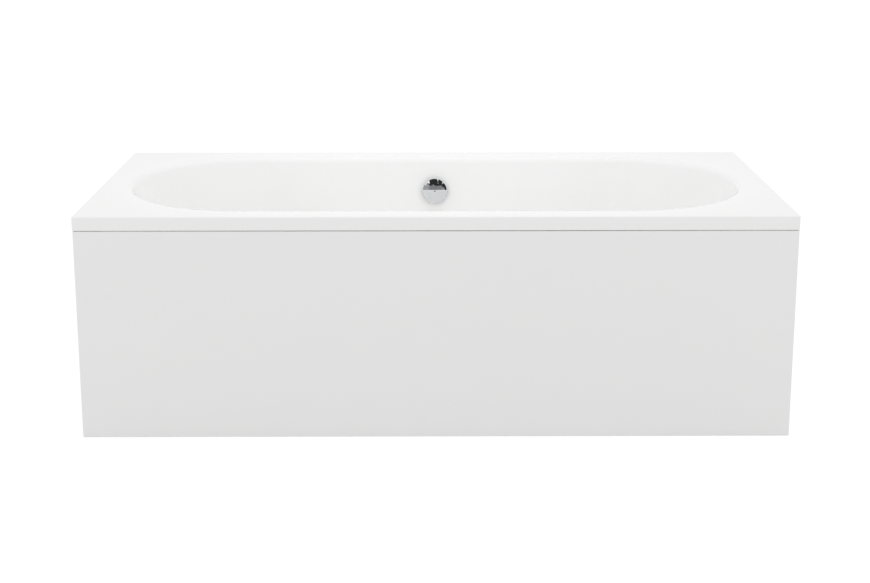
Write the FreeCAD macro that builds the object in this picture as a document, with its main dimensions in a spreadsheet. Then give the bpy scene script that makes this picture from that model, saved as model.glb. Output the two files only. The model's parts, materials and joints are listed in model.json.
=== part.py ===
import FreeCAD, Part
import math
import os
import re
import Sketcher

# An alcove bathtub: a white acrylic shell with a flat rim and an oval bowl, its hidden glassfibre
# and timber backing, a steel cradle on four screw feet, a removable front panel, and the rotary
# overflow control that lifts the waste plug through a cable.
# Frame: millimetres, origin on the floor under the middle of the rim, +X along the length,
# -Y towards the front panel, +Y towards the wall, +Z up.

SIZES = {
    # rim and bowl
    "bath_length": 1800, "bath_width": 800, "floor_level": 150, "bowl_depth": 430,
    "rim_land": 74, "side_taper": 76, "end_taper": 226, "rim_drop": 35, "rim_corner": 6,
    "rim_round": 3, "acrylic": 5, "lip_radius": 20, "floor_blend": 100,
    # backing
    "glass_layer": 3, "glass_gap": 2, "board_margin": 25, "board_end_margin": 100,
    "board_thickness": 16, "rail_width": 30, "rail_height": 20, "rail_gap": 3,
    # cradle
    "bar_margin": 80, "bar_setback": 48, "bar_width": 30, "bar_height": 25, "bar_steel": 2,
    "strut_steel": 3, "strut_width": 24, "strut_foot": 30, "tab_margin": 4,
    "bracket_end": 300, "bracket_width": 40, "bracket_steel": 3, "leaf_margin": 2,
    "bracket_drop": 80, "bracket_hole": 3, "bracket_pitch": 40, "skirt_clear": 2,
    # feet and fasteners
    "foot_clear": 22, "stud_radius": 5, "stud_spare": 32, "stud_fit": 0.05,
    "pad_radius": 25, "pad_height": 16, "pad_sole": 6, "pad_neck": 12,
    "nut_flats": 17, "nut_height": 8, "bolt_radius": 3, "bolt_flats": 10, "bolt_head": 4,
    "bolt_slack": 0.3, "screw_radius": 2, "screw_head": 4, "screw_cap": 2.5,
    "screw_bite": 14, "screw_pitch": 7, "screw_slack": 0.1,
    # front panel
    "panel_gap": 2, "panel_setback": 1, "panel_inset": 1.5, "panel_skin": 4, "panel_return": 22,
    "panel_edge": 2, "panel_floor": 3, "panel_rail": 60, "panel_play": 0.5, "panel_post": 60,
    "panel_posts": 450, "catch_height": 40, "catch_drop": 44, "catch_plate": 2, "catch_gap": 0.3,
    # overflow, on the slope of the back wall
    "overflow_drop": 97, "neck_radius": 24.5, "hole_slack": 1.5, "thread_slack": 0.1,
    "collar_wall": 2.4, "collar_depth": 9, "ring_lap": 7, "ring_plate": 3, "seal_lap": 10,
    "seal_thickness": 3, "flange_plate": 3, "cup_step": 5.5, "cup_margin": 1,
    "plastic_wall": 2.5, "spindle_radius": 4, "spindle_fit": 0.05, "hub_radius": 8,
    "spoke_width": 5, "spoke_depth": 5, "knob_radius": 37.5, "knob_stand": 6, "knob_skirt": 7,
    "knob_dome": 4, "knob_wall": 2.5, "drum_radius": 8, "drum_length": 10, "drum_gap": 2,
    "cover_wall": 2, "cable_radius": 2.5, "cable_bend": 50, "pipe_radius": 17, "pipe_wall": 2,
    "pipe_bend": 60, "spigot_drop": 48, "union_wall": 3, "union_length": 18,
    # waste, plug, lever and trap, in the middle of the floor
    "body_bore": 24, "body_wall": 3, "hole_step": 2, "neck_wall": 2.9, "neck_length": 38,
    "seat_lap": 12, "flange_lap": 17, "board_lap": 7, "waste_seal": 1.5, "waste_plate": 3,
    "body_plate": 4, "guide_drop": 25, "guide_depth": 6, "branch_reach": 62,
    "plug_inset": 5, "plug_rise": 4.5, "plug_edge": 0.8, "plug_gap": 2, "seat_gap": 0.35,
    "plug_seal_inset": 10.5, "plug_core": 10, "plug_core_drop": 7.5, "stem_radius": 4,
    "lever_back": 16, "lever_swing": 40, "lever_radius": 3, "lever_gap": 0.4, "crank_arm": 13,
    "crank_width": 4, "crank_room": 14, "housing_width": 14, "housing_wall": 2, "board_gap": 3,
    "lid_gap": 2, "lid_radius": 50, "lid_plate": 4, "lid_skirt": 16, "trap_slack": 0.2,
    "trap_floor": 8, "trap_wall": 3, "trap_seal": 2, "dip_radius": 20, "dip_gap": 5,
    "outlet_drop": 30, "outlet_radius": 20, "outlet_reach": 78, "outlet_end": 150,
    "outlet_bead": 2, "nut_wall": 7, "outlet_nut_length": 20,
}

# Levels, widths and places that follow from the sizes, in the sheet's own terms.
DERIVED = {
    "rim_level": "floor_level + bowl_depth",
    "opening_radius": "bath_width / 2 - rim_land",
    "opening_straight": "bath_length - 2 * (rim_land + opening_radius)",
    "floor_radius": "opening_radius - side_taper",
    "floor_straight": "opening_straight - 2 * (end_taper - side_taper)",
    "side_slope": "atan(side_taper / bowl_depth)",
    "end_slope": "atan(end_taper / bowl_depth)",
    "acrylic_under": "floor_level - acrylic",
    "shell_under": "acrylic_under - glass_layer",
    "board_under": "shell_under - board_thickness",
    "board_width": "2 * (floor_radius - board_margin)",
    "board_length": "floor_straight + 2 * (floor_radius - board_end_margin)",
    "rail_top": "rim_level - acrylic",
    "rail_under": "rail_top - rail_height",
    "rail_inset": "acrylic + rail_gap",
    "rail_middle": "rail_inset + rail_width / 2",
    "skirt_under": "rim_level - rim_drop",
    "bar_spread": "board_length / 2 - bar_margin",
    "bar_length": "bath_width - 2 * bar_setback",
    "web_under": "board_under - bar_steel",
    "bolt_place": "bar_length / 2 - strut_foot / 2",
    "bracket_spread": "bath_length / 2 - bracket_end",
    "foot_spread": "bar_length / 2 - strut_foot - foot_clear",
    "board_screw_pitch": "foot_spread / 2",
    "panel_top": "skirt_under - panel_gap",
    "panel_face": "bath_width / 2 - panel_setback",
    "panel_back": "panel_face - panel_return",
    "panel_half": "bath_length / 2 - panel_inset",
    "overflow_level": "rim_level - overflow_drop",
    "overflow_y": "opening_radius - overflow_drop * tan(side_slope)",
    "overflow_hole": "neck_radius + hole_slack",
    "neck_bore": "neck_radius - plastic_wall",
    "ring_radius": "overflow_hole + ring_lap",
    "seal_radius": "overflow_hole + seal_lap",
    "cup_radius": "neck_radius + cup_step",
    "wall_back": "acrylic + glass_layer",
    "seal_back": "wall_back + seal_thickness",
    "cup_front": "seal_back + flange_plate",
    "pipe_place": "cup_front + cup_margin + pipe_radius",
    "cup_back": "cup_front + 2 * (cup_margin + pipe_radius)",
    "cover_half": "drum_radius + 2 * drum_gap + cover_wall",
    "cover_depth": "drum_length + 3 * drum_gap + cover_wall",
    "cable_place": "cup_back + cover_depth / 2",
    "cable_side": "housing_inner + housing_width / 2",
    "cover_side": "cable_side + cover_half - 2 * cable_radius",
    "union_radius": "pipe_radius + union_wall",
    "waste_hole": "body_bore + hole_step",
    "waste_thread": "body_bore - thread_slack",
    "waste_bore": "waste_thread - neck_wall",
    "waste_flange": "waste_hole + seat_lap",
    "body_flange": "waste_hole + flange_lap",
    "waste_clear": "body_flange + board_lap",
    "body_radius": "body_bore + body_wall",
    "plate_under": "floor_level + waste_seal",
    "plate_top": "plate_under + waste_plate",
    "seat_level": "plate_top - waste_plate / 6",
    "seat_rise": "(seat_level - plate_under) / (waste_flange - 8 - waste_bore)",
    "plug_radius": "waste_flange - plug_inset",
    "plug_seal_radius": "waste_flange - plug_seal_inset",
    "seal_low": "plate_under + (plug_seal_radius - 2 - waste_bore) * seat_rise + seat_gap",
    "body_top": "shell_under - seal_thickness",
    "plug_under": "plate_top + plug_gap",
    "crank_top": "crank_arm + lever_radius + 1 + housing_wall",
    "lever_level": "board_under - board_gap - (crank_top)",
    "stem_bottom": "lever_level - (lever_back - stem_radius) * tan(lever_swing / 2)"
                   " + lever_radius / cos(lever_swing / 2) + lever_gap",
    "cable_level": "lever_level + crank_arm",
    "branch_level": "board_under - union_radius - 1",
    "lid_level": "branch_level - pipe_radius - lid_gap",
    "housing_inner": "body_radius + 1",
    "housing_low": "lid_level + board_gap",
    "housing_tall": "lever_level + (crank_top) - housing_low",
    "housing_back": "lever_back + crank_room",
    "housing_front": "crank_arm + lever_radius + housing_wall - lever_back",
    "trap_top": "lid_level - lid_plate - trap_seal",
    "trap_radius": "lid_radius - 2",
    "dip_bottom": "trap_floor + trap_wall + dip_gap",
    "outlet_level": "trap_top - outlet_drop",
    "outlet_nut": "outlet_radius + nut_wall",
}

document = FreeCAD.newDocument("Bathtub")
sheet = document.addObject("Spreadsheet::Sheet", "Sizes")
for row, (alias, size) in enumerate(SIZES.items(), start=1):
    sheet.set(f"A{row}", alias)
    sheet.set(f"B{row}", str(size))
    sheet.setAlias(f"B{row}", alias)
document.recompute()

WORD = re.compile(r"[a-z][a-z_]*")
UPRIGHT = FreeCAD.Vector(0, 0, 1)
ALONG = FreeCAD.Vector(1, 0, 0)
nodes = []


def formula(text):
    """The sheet expression for a formula written with size and level names."""
    def term(match):
        word = match.group(0)
        if word in DERIVED:
            return f"({formula(DERIVED[word])})"
        return f"Sizes.{word}" if word in SIZES else word
    return WORD.sub(term, text)


def value(text):
    """The number that a formula gives now, for first positions and for choosing edges."""
    return float(sheet.evalExpression(formula(text)))


def bind(thing, **formulas):
    for name, text in formulas.items():
        thing.setExpression(name.replace("__", "."), formula(text))
    return thing


def place(thing, x="0", y="0", z="0", turn=None, about=UPRIGHT):
    """Put a sub-part at x, y, z, turned about one axis by a formula in degrees."""
    thing.Placement = FreeCAD.Placement(FreeCAD.Vector(), FreeCAD.Rotation(about, 1 if turn else 0))
    bind(thing, Placement__Base__x=x, Placement__Base__y=y, Placement__Base__z=z)
    if turn:
        bind(thing, Placement__Rotation__Angle=turn)
    return thing


def node(thing, label):
    """Name a finished sub-part and list it for writing."""
    thing.Label = label
    nodes.append(thing)
    return thing


def new_body(name):
    return document.addObject("PartDesign::Body", name)


def sketch_on(body, name, plane, offset):
    """An empty sketch on one of the body's own planes, moved along that plane's normal."""
    sketch = body.newObject("Sketcher::SketchObject", name)
    support = next(f for f in body.Origin.OriginFeatures if f.Role == plane)
    sketch.AttachmentSupport = [(support, "")]
    sketch.MapMode = "FlatFace"
    return bind(sketch, AttachmentOffset__Base__z=offset)


def fix_point(sketch, side, end, x, y, name):
    """Hold one end of a sketch element at x, y from the sketch's origin."""
    for kind, text, letter in (("DistanceX", x, "x"), ("DistanceY", y, "y")):
        number = sketch.addConstraint(Sketcher.Constraint(kind, -1, 1, side, end, value(text)))
        sketch.renameConstraint(number, f"{letter}_{name}")
        sketch.setExpression(f"Constraints.{letter}_{name}", formula(text))


def fix_radius(sketch, side, radius, name):
    number = sketch.addConstraint(Sketcher.Constraint("Radius", side, value(radius)))
    sketch.renameConstraint(number, name)
    sketch.setExpression(f"Constraints.{name}", formula(radius))


def arc_between(start, end, radius):
    """The short arc from start to end that turns left, or right with a negative radius."""
    chord = end - start
    middle = (start + end) / 2
    height = math.sqrt(radius ** 2 - (chord.Length / 2) ** 2)
    normal = FreeCAD.Vector(-chord.y, chord.x, 0).normalize()
    centre = middle + normal * math.copysign(height, radius)
    first = math.atan2(start.y - centre.y, start.x - centre.x)
    last = math.atan2(end.y - centre.y, end.x - centre.x)
    if radius < 0:
        first, last = last, first
    return Part.ArcOfCircle(Part.Circle(centre, UPRIGHT, abs(radius)), first,
                            last + (2 * math.pi if last < first else 0))


def outline(body, name, points, plane="XY_Plane", offset="0", arcs=None, closed=True, sketch=None):
    """Straight sides through the points, with arcs (side number: radius) where they are named."""
    sketch = sketch or sketch_on(body, name, plane, offset)
    arcs = arcs or {}
    first = sketch.GeometryCount
    spots = [FreeCAD.Vector(value(x), value(y), 0) for x, y in points]
    sides = len(points) if closed else len(points) - 1
    for side in range(sides):
        start, end = spots[side], spots[(side + 1) % len(points)]
        if side in arcs:
            sketch.addGeometry(arc_between(start, end, value(arcs[side])))
        else:
            sketch.addGeometry(Part.LineSegment(start, end))

    def corner(side, at_start):
        backwards = side in arcs and value(arcs[side]) < 0
        return 1 if at_start != backwards else 2

    for side in range(sides if closed else sides - 1):
        following = (side + 1) % sides
        sketch.addConstraint(Sketcher.Constraint(
            "Coincident", first + side, corner(side, False), first + following, corner(following, True)))
    for number, (x, y) in enumerate(points):
        if number < sides:
            fix_point(sketch, first + number, corner(number, True), x, y, f"{first}_{number}")
        else:
            fix_point(sketch, first + sides - 1, corner(sides - 1, False), x, y, f"{first}_{number}")
    for side, radius in arcs.items():
        size = radius if value(radius) > 0 else f"-1 * ({radius})"
        fix_radius(sketch, first + side, size, f"radius_{first}_{side}")
    return sketch


def rectangle(body, name, x, y, plane="XY_Plane", offset="0", sketch=None):
    """A rectangle from x[0] to x[1] and y[0] to y[1]."""
    corners = [(x[0], y[0]), (x[1], y[0]), (x[1], y[1]), (x[0], y[1])]
    return outline(body, name, corners, plane, offset, sketch=sketch)


def circles(body, name, centres, radius, plane="XY_Plane", offset="0", sketch=None):
    """One circle of the same radius at each centre."""
    sketch = sketch or sketch_on(body, name, plane, offset)
    for x, y in centres:
        number = sketch.addGeometry(Part.Circle(FreeCAD.Vector(value(x), value(y), 0), UPRIGHT,
                                                value(radius)))
        fix_point(sketch, number, 3, x, y, str(number))
        fix_radius(sketch, number, radius, f"radius_{number}")
    return sketch


def hexagons(body, name, centres, flats, offset):
    """One hexagon, with the same distance across its flats, at each centre."""
    sketch = sketch_on(body, name, "XY_Plane", offset)
    for x, y in centres:
        points = [(f"{x} + ({flats}) / sqrt(3) * cos({60 * k} deg)",
                   f"{y} + ({flats}) / sqrt(3) * sin({60 * k} deg)") for k in range(6)]
        outline(body, name, points, sketch=sketch)
    return sketch


def stadium(body, name, offset, half_straight, radius):
    """Two straight sides joined by half circles, symmetric about the origin."""
    sketch = sketch_on(body, name, "XY_Plane", offset)
    half, round_end, quarter = value(half_straight), value(radius), math.pi / 2
    vector = FreeCAD.Vector
    sketch.addGeometry([
        Part.LineSegment(vector(-half, round_end, 0), vector(half, round_end, 0)),
        Part.ArcOfCircle(Part.Circle(vector(half, 0, 0), UPRIGHT, round_end), -quarter, quarter),
        Part.LineSegment(vector(half, -round_end, 0), vector(-half, -round_end, 0)),
        Part.ArcOfCircle(Part.Circle(vector(-half, 0, 0), UPRIGHT, round_end), quarter, 3 * quarter)])
    limit = Sketcher.Constraint
    sketch.addConstraint([
        limit("Horizontal", 0), limit("Horizontal", 2), limit("Tangent", 0, 2, 1, 2),
        limit("Tangent", 1, 1, 2, 1), limit("Tangent", 2, 2, 3, 2), limit("Tangent", 3, 1, 0, 1),
        limit("Symmetric", 1, 3, 3, 3, -1, 1)])
    number = sketch.addConstraint(limit("DistanceX", -1, 1, 1, 3, half))
    sketch.renameConstraint(number, "half_straight")
    sketch.setExpression("Constraints.half_straight", formula(half_straight))
    fix_radius(sketch, 1, radius, "end_radius")
    return sketch


def extrude(body, sketch, length, name="pad", down=False, middle=False):
    """Pad a sketch along its normal, against it, or half each way."""
    pad = body.newObject("PartDesign::Pad", name)
    pad.Profile = sketch
    pad.Reversed = down
    pad.Midplane = middle
    bind(pad, Length=length)
    document.recompute()
    return pad


def cut_in(body, sketch, length, name="cut", forward=False, middle=False):
    """Pocket a sketch against its normal, along it, or half each way, and prove that it cuts."""
    before = body.Shape.Volume
    pocket = body.newObject("PartDesign::Pocket", name)
    pocket.Profile = sketch
    pocket.Reversed = forward
    pocket.Midplane = middle
    bind(pocket, Length=length)
    document.recompute()
    if not pocket.Shape.Volume < before - 1e-3:
        raise ValueError(f"{body.Name} {name} removes nothing")
    return pocket


def turn_about(body, sketch, name="turned"):
    """Revolve a sketch of radius and height about the upright axis."""
    turned = body.newObject("PartDesign::Revolution", name)
    turned.Profile = sketch
    turned.ReferenceAxis = (sketch, ["V_Axis"])
    turned.Angle = 360
    document.recompute()
    return turned


def turned_body(name, profile, arcs=None):
    """A body turned from (radius, height) points."""
    body = new_body(name)
    turn_about(body, outline(body, "profile", profile, "XZ_Plane", arcs=arcs))
    return body


def ring(name, inner, outer, low, high):
    return turned_body(name, [(inner, low), (outer, low), (outer, high), (inner, high)])


def round_edges(body, base, radius, name, test):
    """Fillet the edges of a feature whose bounding boxes pass a test."""
    fillet = body.newObject("PartDesign::Fillet", name)
    chosen = [f"Edge{n}" for n, edge in enumerate(base.Shape.Edges, 1) if test(edge.BoundBox)]
    if not chosen:
        raise ValueError(f"{body.Name} {name} finds no edge")
    fillet.Base = (base, chosen)
    bind(fillet, Radius=radius)
    document.recompute()
    return fillet


def level(box, z):
    return abs(box.ZMin - z) < 0.01 and abs(box.ZMax - z) < 0.01


def sweep(name, path, start, radius, wall=None, bend=None, plane_offset="0"):
    """A round tube or rod along a path of straight run, arc and straight run in the YZ plane."""
    body = new_body(name)
    across = circles(body, "section", [(plane_offset, start[1])], radius, "XZ_Plane",
                     f"-1 * ({start[0]})")
    if wall:
        circles(body, "section", [(plane_offset, start[1])], f"{radius} - {wall}", sketch=across)
    route = outline(body, "route", path, "YZ_Plane", plane_offset, arcs={1: bend}, closed=False)
    pipe = body.newObject("PartDesign::AdditivePipe", "pipe")
    pipe.Profile = across
    pipe.Spine = (route, [])
    document.recompute()
    run = sum(edge.Length for edge in route.Shape.Edges)
    area = math.pi * (value(radius) ** 2 - (value(f"{radius} - {wall}") ** 2 if wall else 0))
    print(f"{name}: route {run:.1f}, volume over section times route "
          f"{pipe.Shape.Volume / (area * run):.4f}")
    return body


# ---------------------------------------------------------------------------------------------
# Shell, glassfibre backing and base board

def bowl_loft(body, skin):
    """The tapering bowl between the rim and the floor, grown outwards by a skin thickness."""
    grow = f"({skin})"
    top = stadium(body, "opening", "rim_level",
                  f"opening_straight / 2 + {grow} * (1 / cos(end_slope) - 1 / cos(side_slope))",
                  f"opening_radius + {grow} / cos(side_slope)")
    bottom = stadium(body, "floor", f"floor_level - {grow}",
                     f"floor_straight / 2 + {grow} * (1 / cos(end_slope) - 1 / cos(side_slope)"
                     f" - tan(end_slope) + tan(side_slope))",
                     f"floor_radius + {grow} * (1 / cos(side_slope) - tan(side_slope))")
    loft = body.newObject("PartDesign::AdditiveLoft", "bowl")
    loft.Profile = top
    loft.Sections = [bottom]
    loft.Ruled = True
    document.recompute()
    floor = value(f"floor_level - {grow}")
    return round_edges(body, loft, f"floor_blend + {grow}", "floor_edge", lambda b: level(b, floor))


def within_rim(box, reach):
    """True for edges that lie inside the rim, a little wider than the bowl's opening."""
    return (max(box.XMax, -box.XMin) < value(f"opening_straight / 2 + opening_radius + {reach}")
            and max(box.YMax, -box.YMin) < value(f"opening_radius + {reach}"))


def shell_form():
    """The outside of the acrylic: a shallow tray for the rim with the bowl hanging from it."""
    body = new_body("shell_form")
    half_length, half_width = "bath_length / 2", "bath_width / 2"
    rim = extrude(body, rectangle(body, "rim_outline", (f"-{half_length}", half_length),
                                  (f"-{half_width}", half_width), offset="rim_level"),
                  "rim_drop", "rim", down=True)
    round_edges(body, rim, "rim_corner", "rim_corners", lambda b: b.ZLength > value("rim_drop") - 1)
    inner_length, inner_width = f"{half_length} - acrylic", f"{half_width} - acrylic"
    cut_in(body, rectangle(body, "rim_inside", (f"-({inner_length})", inner_length),
                           (f"-({inner_width})", inner_width), offset="skirt_under"),
           "rim_drop - acrylic", "rim_hollow", forward=True)
    bowl = bowl_loft(body, "acrylic")
    under = value("rail_top")
    round_edges(body, bowl, "lip_radius - acrylic", "under_lip",
                lambda b: level(b, under) and within_rim(b, "lip_radius"))
    return body


def drill(name, radius, length, **spot):
    """A round cutter standing on its base point."""
    cutter = bind(document.addObject("Part::Cylinder", name), Radius=radius, Height=length)
    return place(cutter, **spot)


def bath_shell_and_backing():
    form = shell_form()
    space = new_body("bowl_space")
    bowl_loft(space, "0")
    waste = drill("waste_cutter", "waste_hole", "bowl_depth", z="floor_level - bowl_depth / 2")
    overflow = drill("overflow_cutter", "overflow_hole", "4 * wall_back", turn="90 deg - side_slope",
                     about=ALONG, y="overflow_y + 2 * wall_back * cos(side_slope)",
                     z="overflow_level - 2 * wall_back * sin(side_slope)")
    holes = document.addObject("Part::MultiFuse", "holes")
    holes.Shapes = [waste, overflow]
    hollow = document.addObject("Part::MultiFuse", "hollow")
    hollow.Shapes = [space, holes]
    blank = document.addObject("Part::Cut", "shell_blank")
    blank.Base, blank.Tool = form, hollow
    document.recompute()
    shell = new_body("shell")
    shell.BaseFeature = blank
    document.recompute()
    rim = value("rim_level")
    lip = round_edges(shell, shell.Group[0], "lip_radius", "lip",
                      lambda b: level(b, rim) and within_rim(b, "1"))
    round_edges(shell, lip, "rim_round", "rim_edge",
                lambda b: level(b, rim) and not within_rim(b, "lip_radius + 1"))
    node(shell, "bath_shell")

    glass = new_body("glass_form")
    extrude(glass, stadium(glass, "flange_outline", "rail_top", "opening_straight / 2",
                           "bath_width / 2 - rail_inset - rail_width - glass_gap"),
            "glass_layer", "flange", down=True)
    bowl = bowl_loft(glass, "acrylic + glass_layer")
    under = value("rail_top - glass_layer")
    round_edges(glass, bowl, "lip_radius - acrylic - glass_layer", "under_lip",
                lambda b: level(b, under) and within_rim(b, "lip_radius"))
    filled = document.addObject("Part::MultiFuse", "filled")
    filled.Shapes = [form, holes]
    layer = document.addObject("Part::Cut", "glass")
    layer.Base, layer.Tool = glass, filled
    node(layer, "glassfibre_layer")

    board = new_body("board")
    extrude(board, rectangle(board, "outline", ("-board_length / 2", "board_length / 2"),
                             ("-board_width / 2", "board_width / 2"), offset="board_under"),
            "board_thickness")
    cut_in(board, circles(board, "waste_opening", [("0", "0")], "waste_clear", offset="shell_under"),
           "board_thickness", "waste_opening_cut")
    cut_in(board, circles(board, "pilot_holes", BOARD_SCREWS, "screw_radius + screw_slack",
                          offset="board_under"), "screw_bite", "pilots", forward=True)
    node(board, "base_board")


# Where the screws stand, seen from above
BOARD_SCREWS = [(f"{side} * bar_spread", f"{step} * board_screw_pitch")
                for side in (-1, 1) for step in (-1, 0, 1)]
STRUT_SCREWS = [(f"{side} * bar_spread + {step} * screw_pitch", f"{end} * (bath_width / 2 - rail_middle)")
                for side in (-1, 1) for end in (-1, 1) for step in (-1, 1)]
BACK_SCREWS = [(f"{side} * bracket_spread + {step} * screw_pitch", "bath_width / 2 - rail_middle")
               for side in (-1, 1) for step in (-1, 1)]
END_SCREWS = [(f"{side} * (bath_length / 2 - rail_middle)", f"{step} * screw_pitch")
              for side in (-1, 1) for step in (-1, 1)]
FEET = {f"{end}_{side}": (f"{x} * bar_spread", f"{y} * foot_spread")
        for end, y in (("front", -1), ("rear", 1)) for side, x in (("left", -1), ("right", 1))}


def rim_rail(label, x, y, screws):
    """A timber rail bonded under the rim, with pilot holes from below."""
    body = new_body(label)
    extrude(body, rectangle(body, "outline", x, y, offset="rail_under"), "rail_height")
    cut_in(body, circles(body, "pilot_holes", screws, "screw_radius + screw_slack",
                         offset="rail_under"), "screw_bite", "pilots", forward=True)
    node(body, label)


def rim_rails():
    outer_x, outer_y = "bath_length / 2 - rail_inset", "bath_width / 2 - rail_inset"
    inner_x, inner_y = f"{outer_x} - rail_width", f"{outer_y} - rail_width"
    whole = (f"-({outer_x})", outer_x)
    front = [spot for spot in STRUT_SCREWS if spot[1].startswith("-1")]
    back = [spot for spot in STRUT_SCREWS if not spot[1].startswith("-1")] + BACK_SCREWS
    rim_rail("rim_rail_front", whole, (f"-({outer_y})", f"-({inner_y})"), front)
    rim_rail("rim_rail_back", whole, (inner_y, outer_y), back)
    between = (f"-({inner_y})", inner_y)
    rim_rail("rim_rail_left", (f"-({outer_x})", f"-({inner_x})"), between, END_SCREWS[:2])
    rim_rail("rim_rail_right", (inner_x, outer_x), between, END_SCREWS[2:])


# ---------------------------------------------------------------------------------------------
# Steel cradle, wall brackets and feet

def cross_bar(label, side):
    """A steel channel, open below, that carries the board and holds two feet."""
    body = new_body(label)
    half, inner = "bar_width / 2", "bar_width / 2 - bar_steel"
    low, high, web = "board_under - bar_height", "board_under", "web_under"
    profile = [(f"-{half}", low), (f"-{half}", high), (half, high), (half, low), (inner, low),
               (inner, web), (f"-({inner})", web), (f"-({inner})", low)]
    extrude(body, outline(body, "channel", profile, "XZ_Plane"), "bar_length", middle=True)
    for name, spots, radius in (
            ("foot_holes", [("0", "-foot_spread"), ("0", "foot_spread")], "stud_radius + bolt_slack"),
            ("bolt_holes", [("0", "-(bolt_place)"), ("0", "bolt_place")], "bolt_radius + bolt_slack"),
            ("screw_holes", [("0", spot[1]) for spot in BOARD_SCREWS[:3]],
             "screw_radius + bolt_slack")):
        cut_in(body, circles(body, name, spots, radius, offset="board_under"), "bar_steel",
               f"{name}_cut")
    node(place(body, x=f"{side} * bar_spread"), label)


def rim_strut(label, side, end):
    """A bent steel strap from the end of a cross bar up to a rim rail."""
    body = new_body(label)
    inner, outer = "bar_length / 2", "bar_length / 2 + strut_steel"
    tip = "bath_width / 2 - rail_inset - tab_margin"
    profile = [(f"{inner} - strut_foot", "web_under"), (inner, "web_under"), (inner, "rail_under"),
               (tip, "rail_under"), (tip, "rail_under - strut_steel"),
               (outer, "rail_under - strut_steel"), (outer, "web_under - strut_steel"),
               (f"{inner} - strut_foot", "web_under - strut_steel")]
    extrude(body, outline(body, "strap", profile, "YZ_Plane"), "strut_width", middle=True)
    cut_in(body, circles(body, "bolt_hole", [("0", "bolt_place")], "bolt_radius + bolt_slack",
                         offset="web_under"), "strut_steel", "bolt_hole_cut")
    spots = [(f"{step} * screw_pitch", "bath_width / 2 - rail_middle") for step in (-1, 1)]
    cut_in(body, circles(body, "screw_holes", spots, "screw_radius + bolt_slack",
                         offset="rail_under"), "strut_steel", "screw_holes_cut")
    node(place(body, x=f"{side} * bar_spread", turn="180 deg" if end < 0 else None), label)


def wall_bracket(label, x, y, turn):
    """A cranked steel strap, screwed under a rail and to the wall; its own wall face is at y 0."""
    body = new_body(label)
    leaf, steel = "rail_under", "bracket_steel"
    near, shelf = "-(acrylic + skirt_clear)", "skirt_under - acrylic"
    far = "-(rail_inset + rail_width - leaf_margin)"
    foot = "skirt_under - bracket_drop"
    profile = [(far, leaf), (near, leaf), (near, shelf), ("0", shelf), ("0", foot),
               (f"-{steel}", foot), (f"-{steel}", f"{shelf} - {steel}"),
               (f"{near} - {steel}", f"{shelf} - {steel}"), (f"{near} - {steel}", f"{leaf} - {steel}"),
               (far, f"{leaf} - {steel}")]
    extrude(body, outline(body, "strap", profile, "YZ_Plane"), "bracket_width", middle=True)
    spots = [("0", f"{foot} + bracket_width / 3"), ("0", f"{foot} + bracket_width / 3 + bracket_pitch")]
    cut_in(body, circles(body, "wall_holes", spots, "bracket_hole", "XZ_Plane"),
           "4 * bracket_steel", "wall_holes_cut", middle=True)
    spots = [(f"{step} * screw_pitch", "-(rail_middle)") for step in (-1, 1)]
    cut_in(body, circles(body, "screw_holes", spots, "screw_radius + bolt_slack",
                         offset="rail_under"), steel, "screw_holes_cut")
    node(place(body, x=x, y=y, turn=turn), label)


def group(label, pads):
    """Loose identical pieces in one node: each pad is (maker, spots, size, low level, height)."""
    body = new_body(label)
    body.AllowCompound = True
    for number, (maker, spots, size, low, height) in enumerate(pads):
        extrude(body, maker(body, f"outline_{number}", spots, size, offset=low), height,
                f"pad_{number}")
    return body


def cradle():
    for side_name, side in (("left", -1), ("right", 1)):
        cross_bar(f"cross_bar_{side_name}", side)
        for end_name, end in (("front", -1), ("rear", 1)):
            rim_strut(f"rim_strut_{end_name}_{side_name}", side, end)
        wall_bracket(f"wall_bracket_back_{side_name}", f"{side} * bracket_spread", "bath_width / 2",
                     None)
        wall_bracket(f"wall_bracket_{side_name}", f"{side} * bath_length / 2", "0",
                     f"{-90 * side} deg")


def fasteners():
    bite = "screw_bite - 1"
    node(group("bar_screws", [
        (circles, BOARD_SCREWS, "screw_head", "web_under - screw_cap", "screw_cap"),
        (circles, BOARD_SCREWS, "screw_radius", "web_under", f"bar_steel + {bite}")]), "bar_screws")
    rail_screws = STRUT_SCREWS + BACK_SCREWS + END_SCREWS
    tab = "rail_under - strut_steel"
    node(group("rail_screws", [
        (circles, rail_screws, "screw_head", f"{tab} - screw_cap", "screw_cap"),
        (circles, rail_screws, "screw_radius", tab, f"strut_steel + {bite}")]), "rail_screws")
    bolts = [(f"{side} * bar_spread", f"{end} * (bolt_place)") for side in (-1, 1) for end in (-1, 1)]
    under_tab = "web_under - strut_steel"
    node(group("frame_bolts", [
        (circles, bolts, "bolt_radius", f"{under_tab} - 2 * bolt_head",
         "2 * bolt_head + strut_steel + bar_steel"),
        (hexagons, bolts, "bolt_flats", "board_under", "bolt_head")]), "frame_bolts")
    nuts = group("frame_nuts", [(hexagons, bolts, "bolt_flats", f"{under_tab} - bolt_head", "bolt_head")])
    cut_in(nuts, circles(nuts, "bores", bolts, "bolt_radius + stud_fit", offset=under_tab),
           "bolt_head", "bores_cut")
    node(nuts, "frame_nuts")
    feet = list(FEET.values())
    foot_nuts = group("foot_nuts", [
        (hexagons, feet, "nut_flats", "web_under - nut_height", "nut_height"),
        (hexagons, feet, "nut_flats", "board_under", "nut_height")])
    cut_in(foot_nuts, circles(foot_nuts, "bores", feet, "stud_radius + stud_fit",
                              offset="board_under + nut_height"),
           "2 * nut_height + bar_steel", "bores_cut")
    node(foot_nuts, "foot_nuts")


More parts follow.
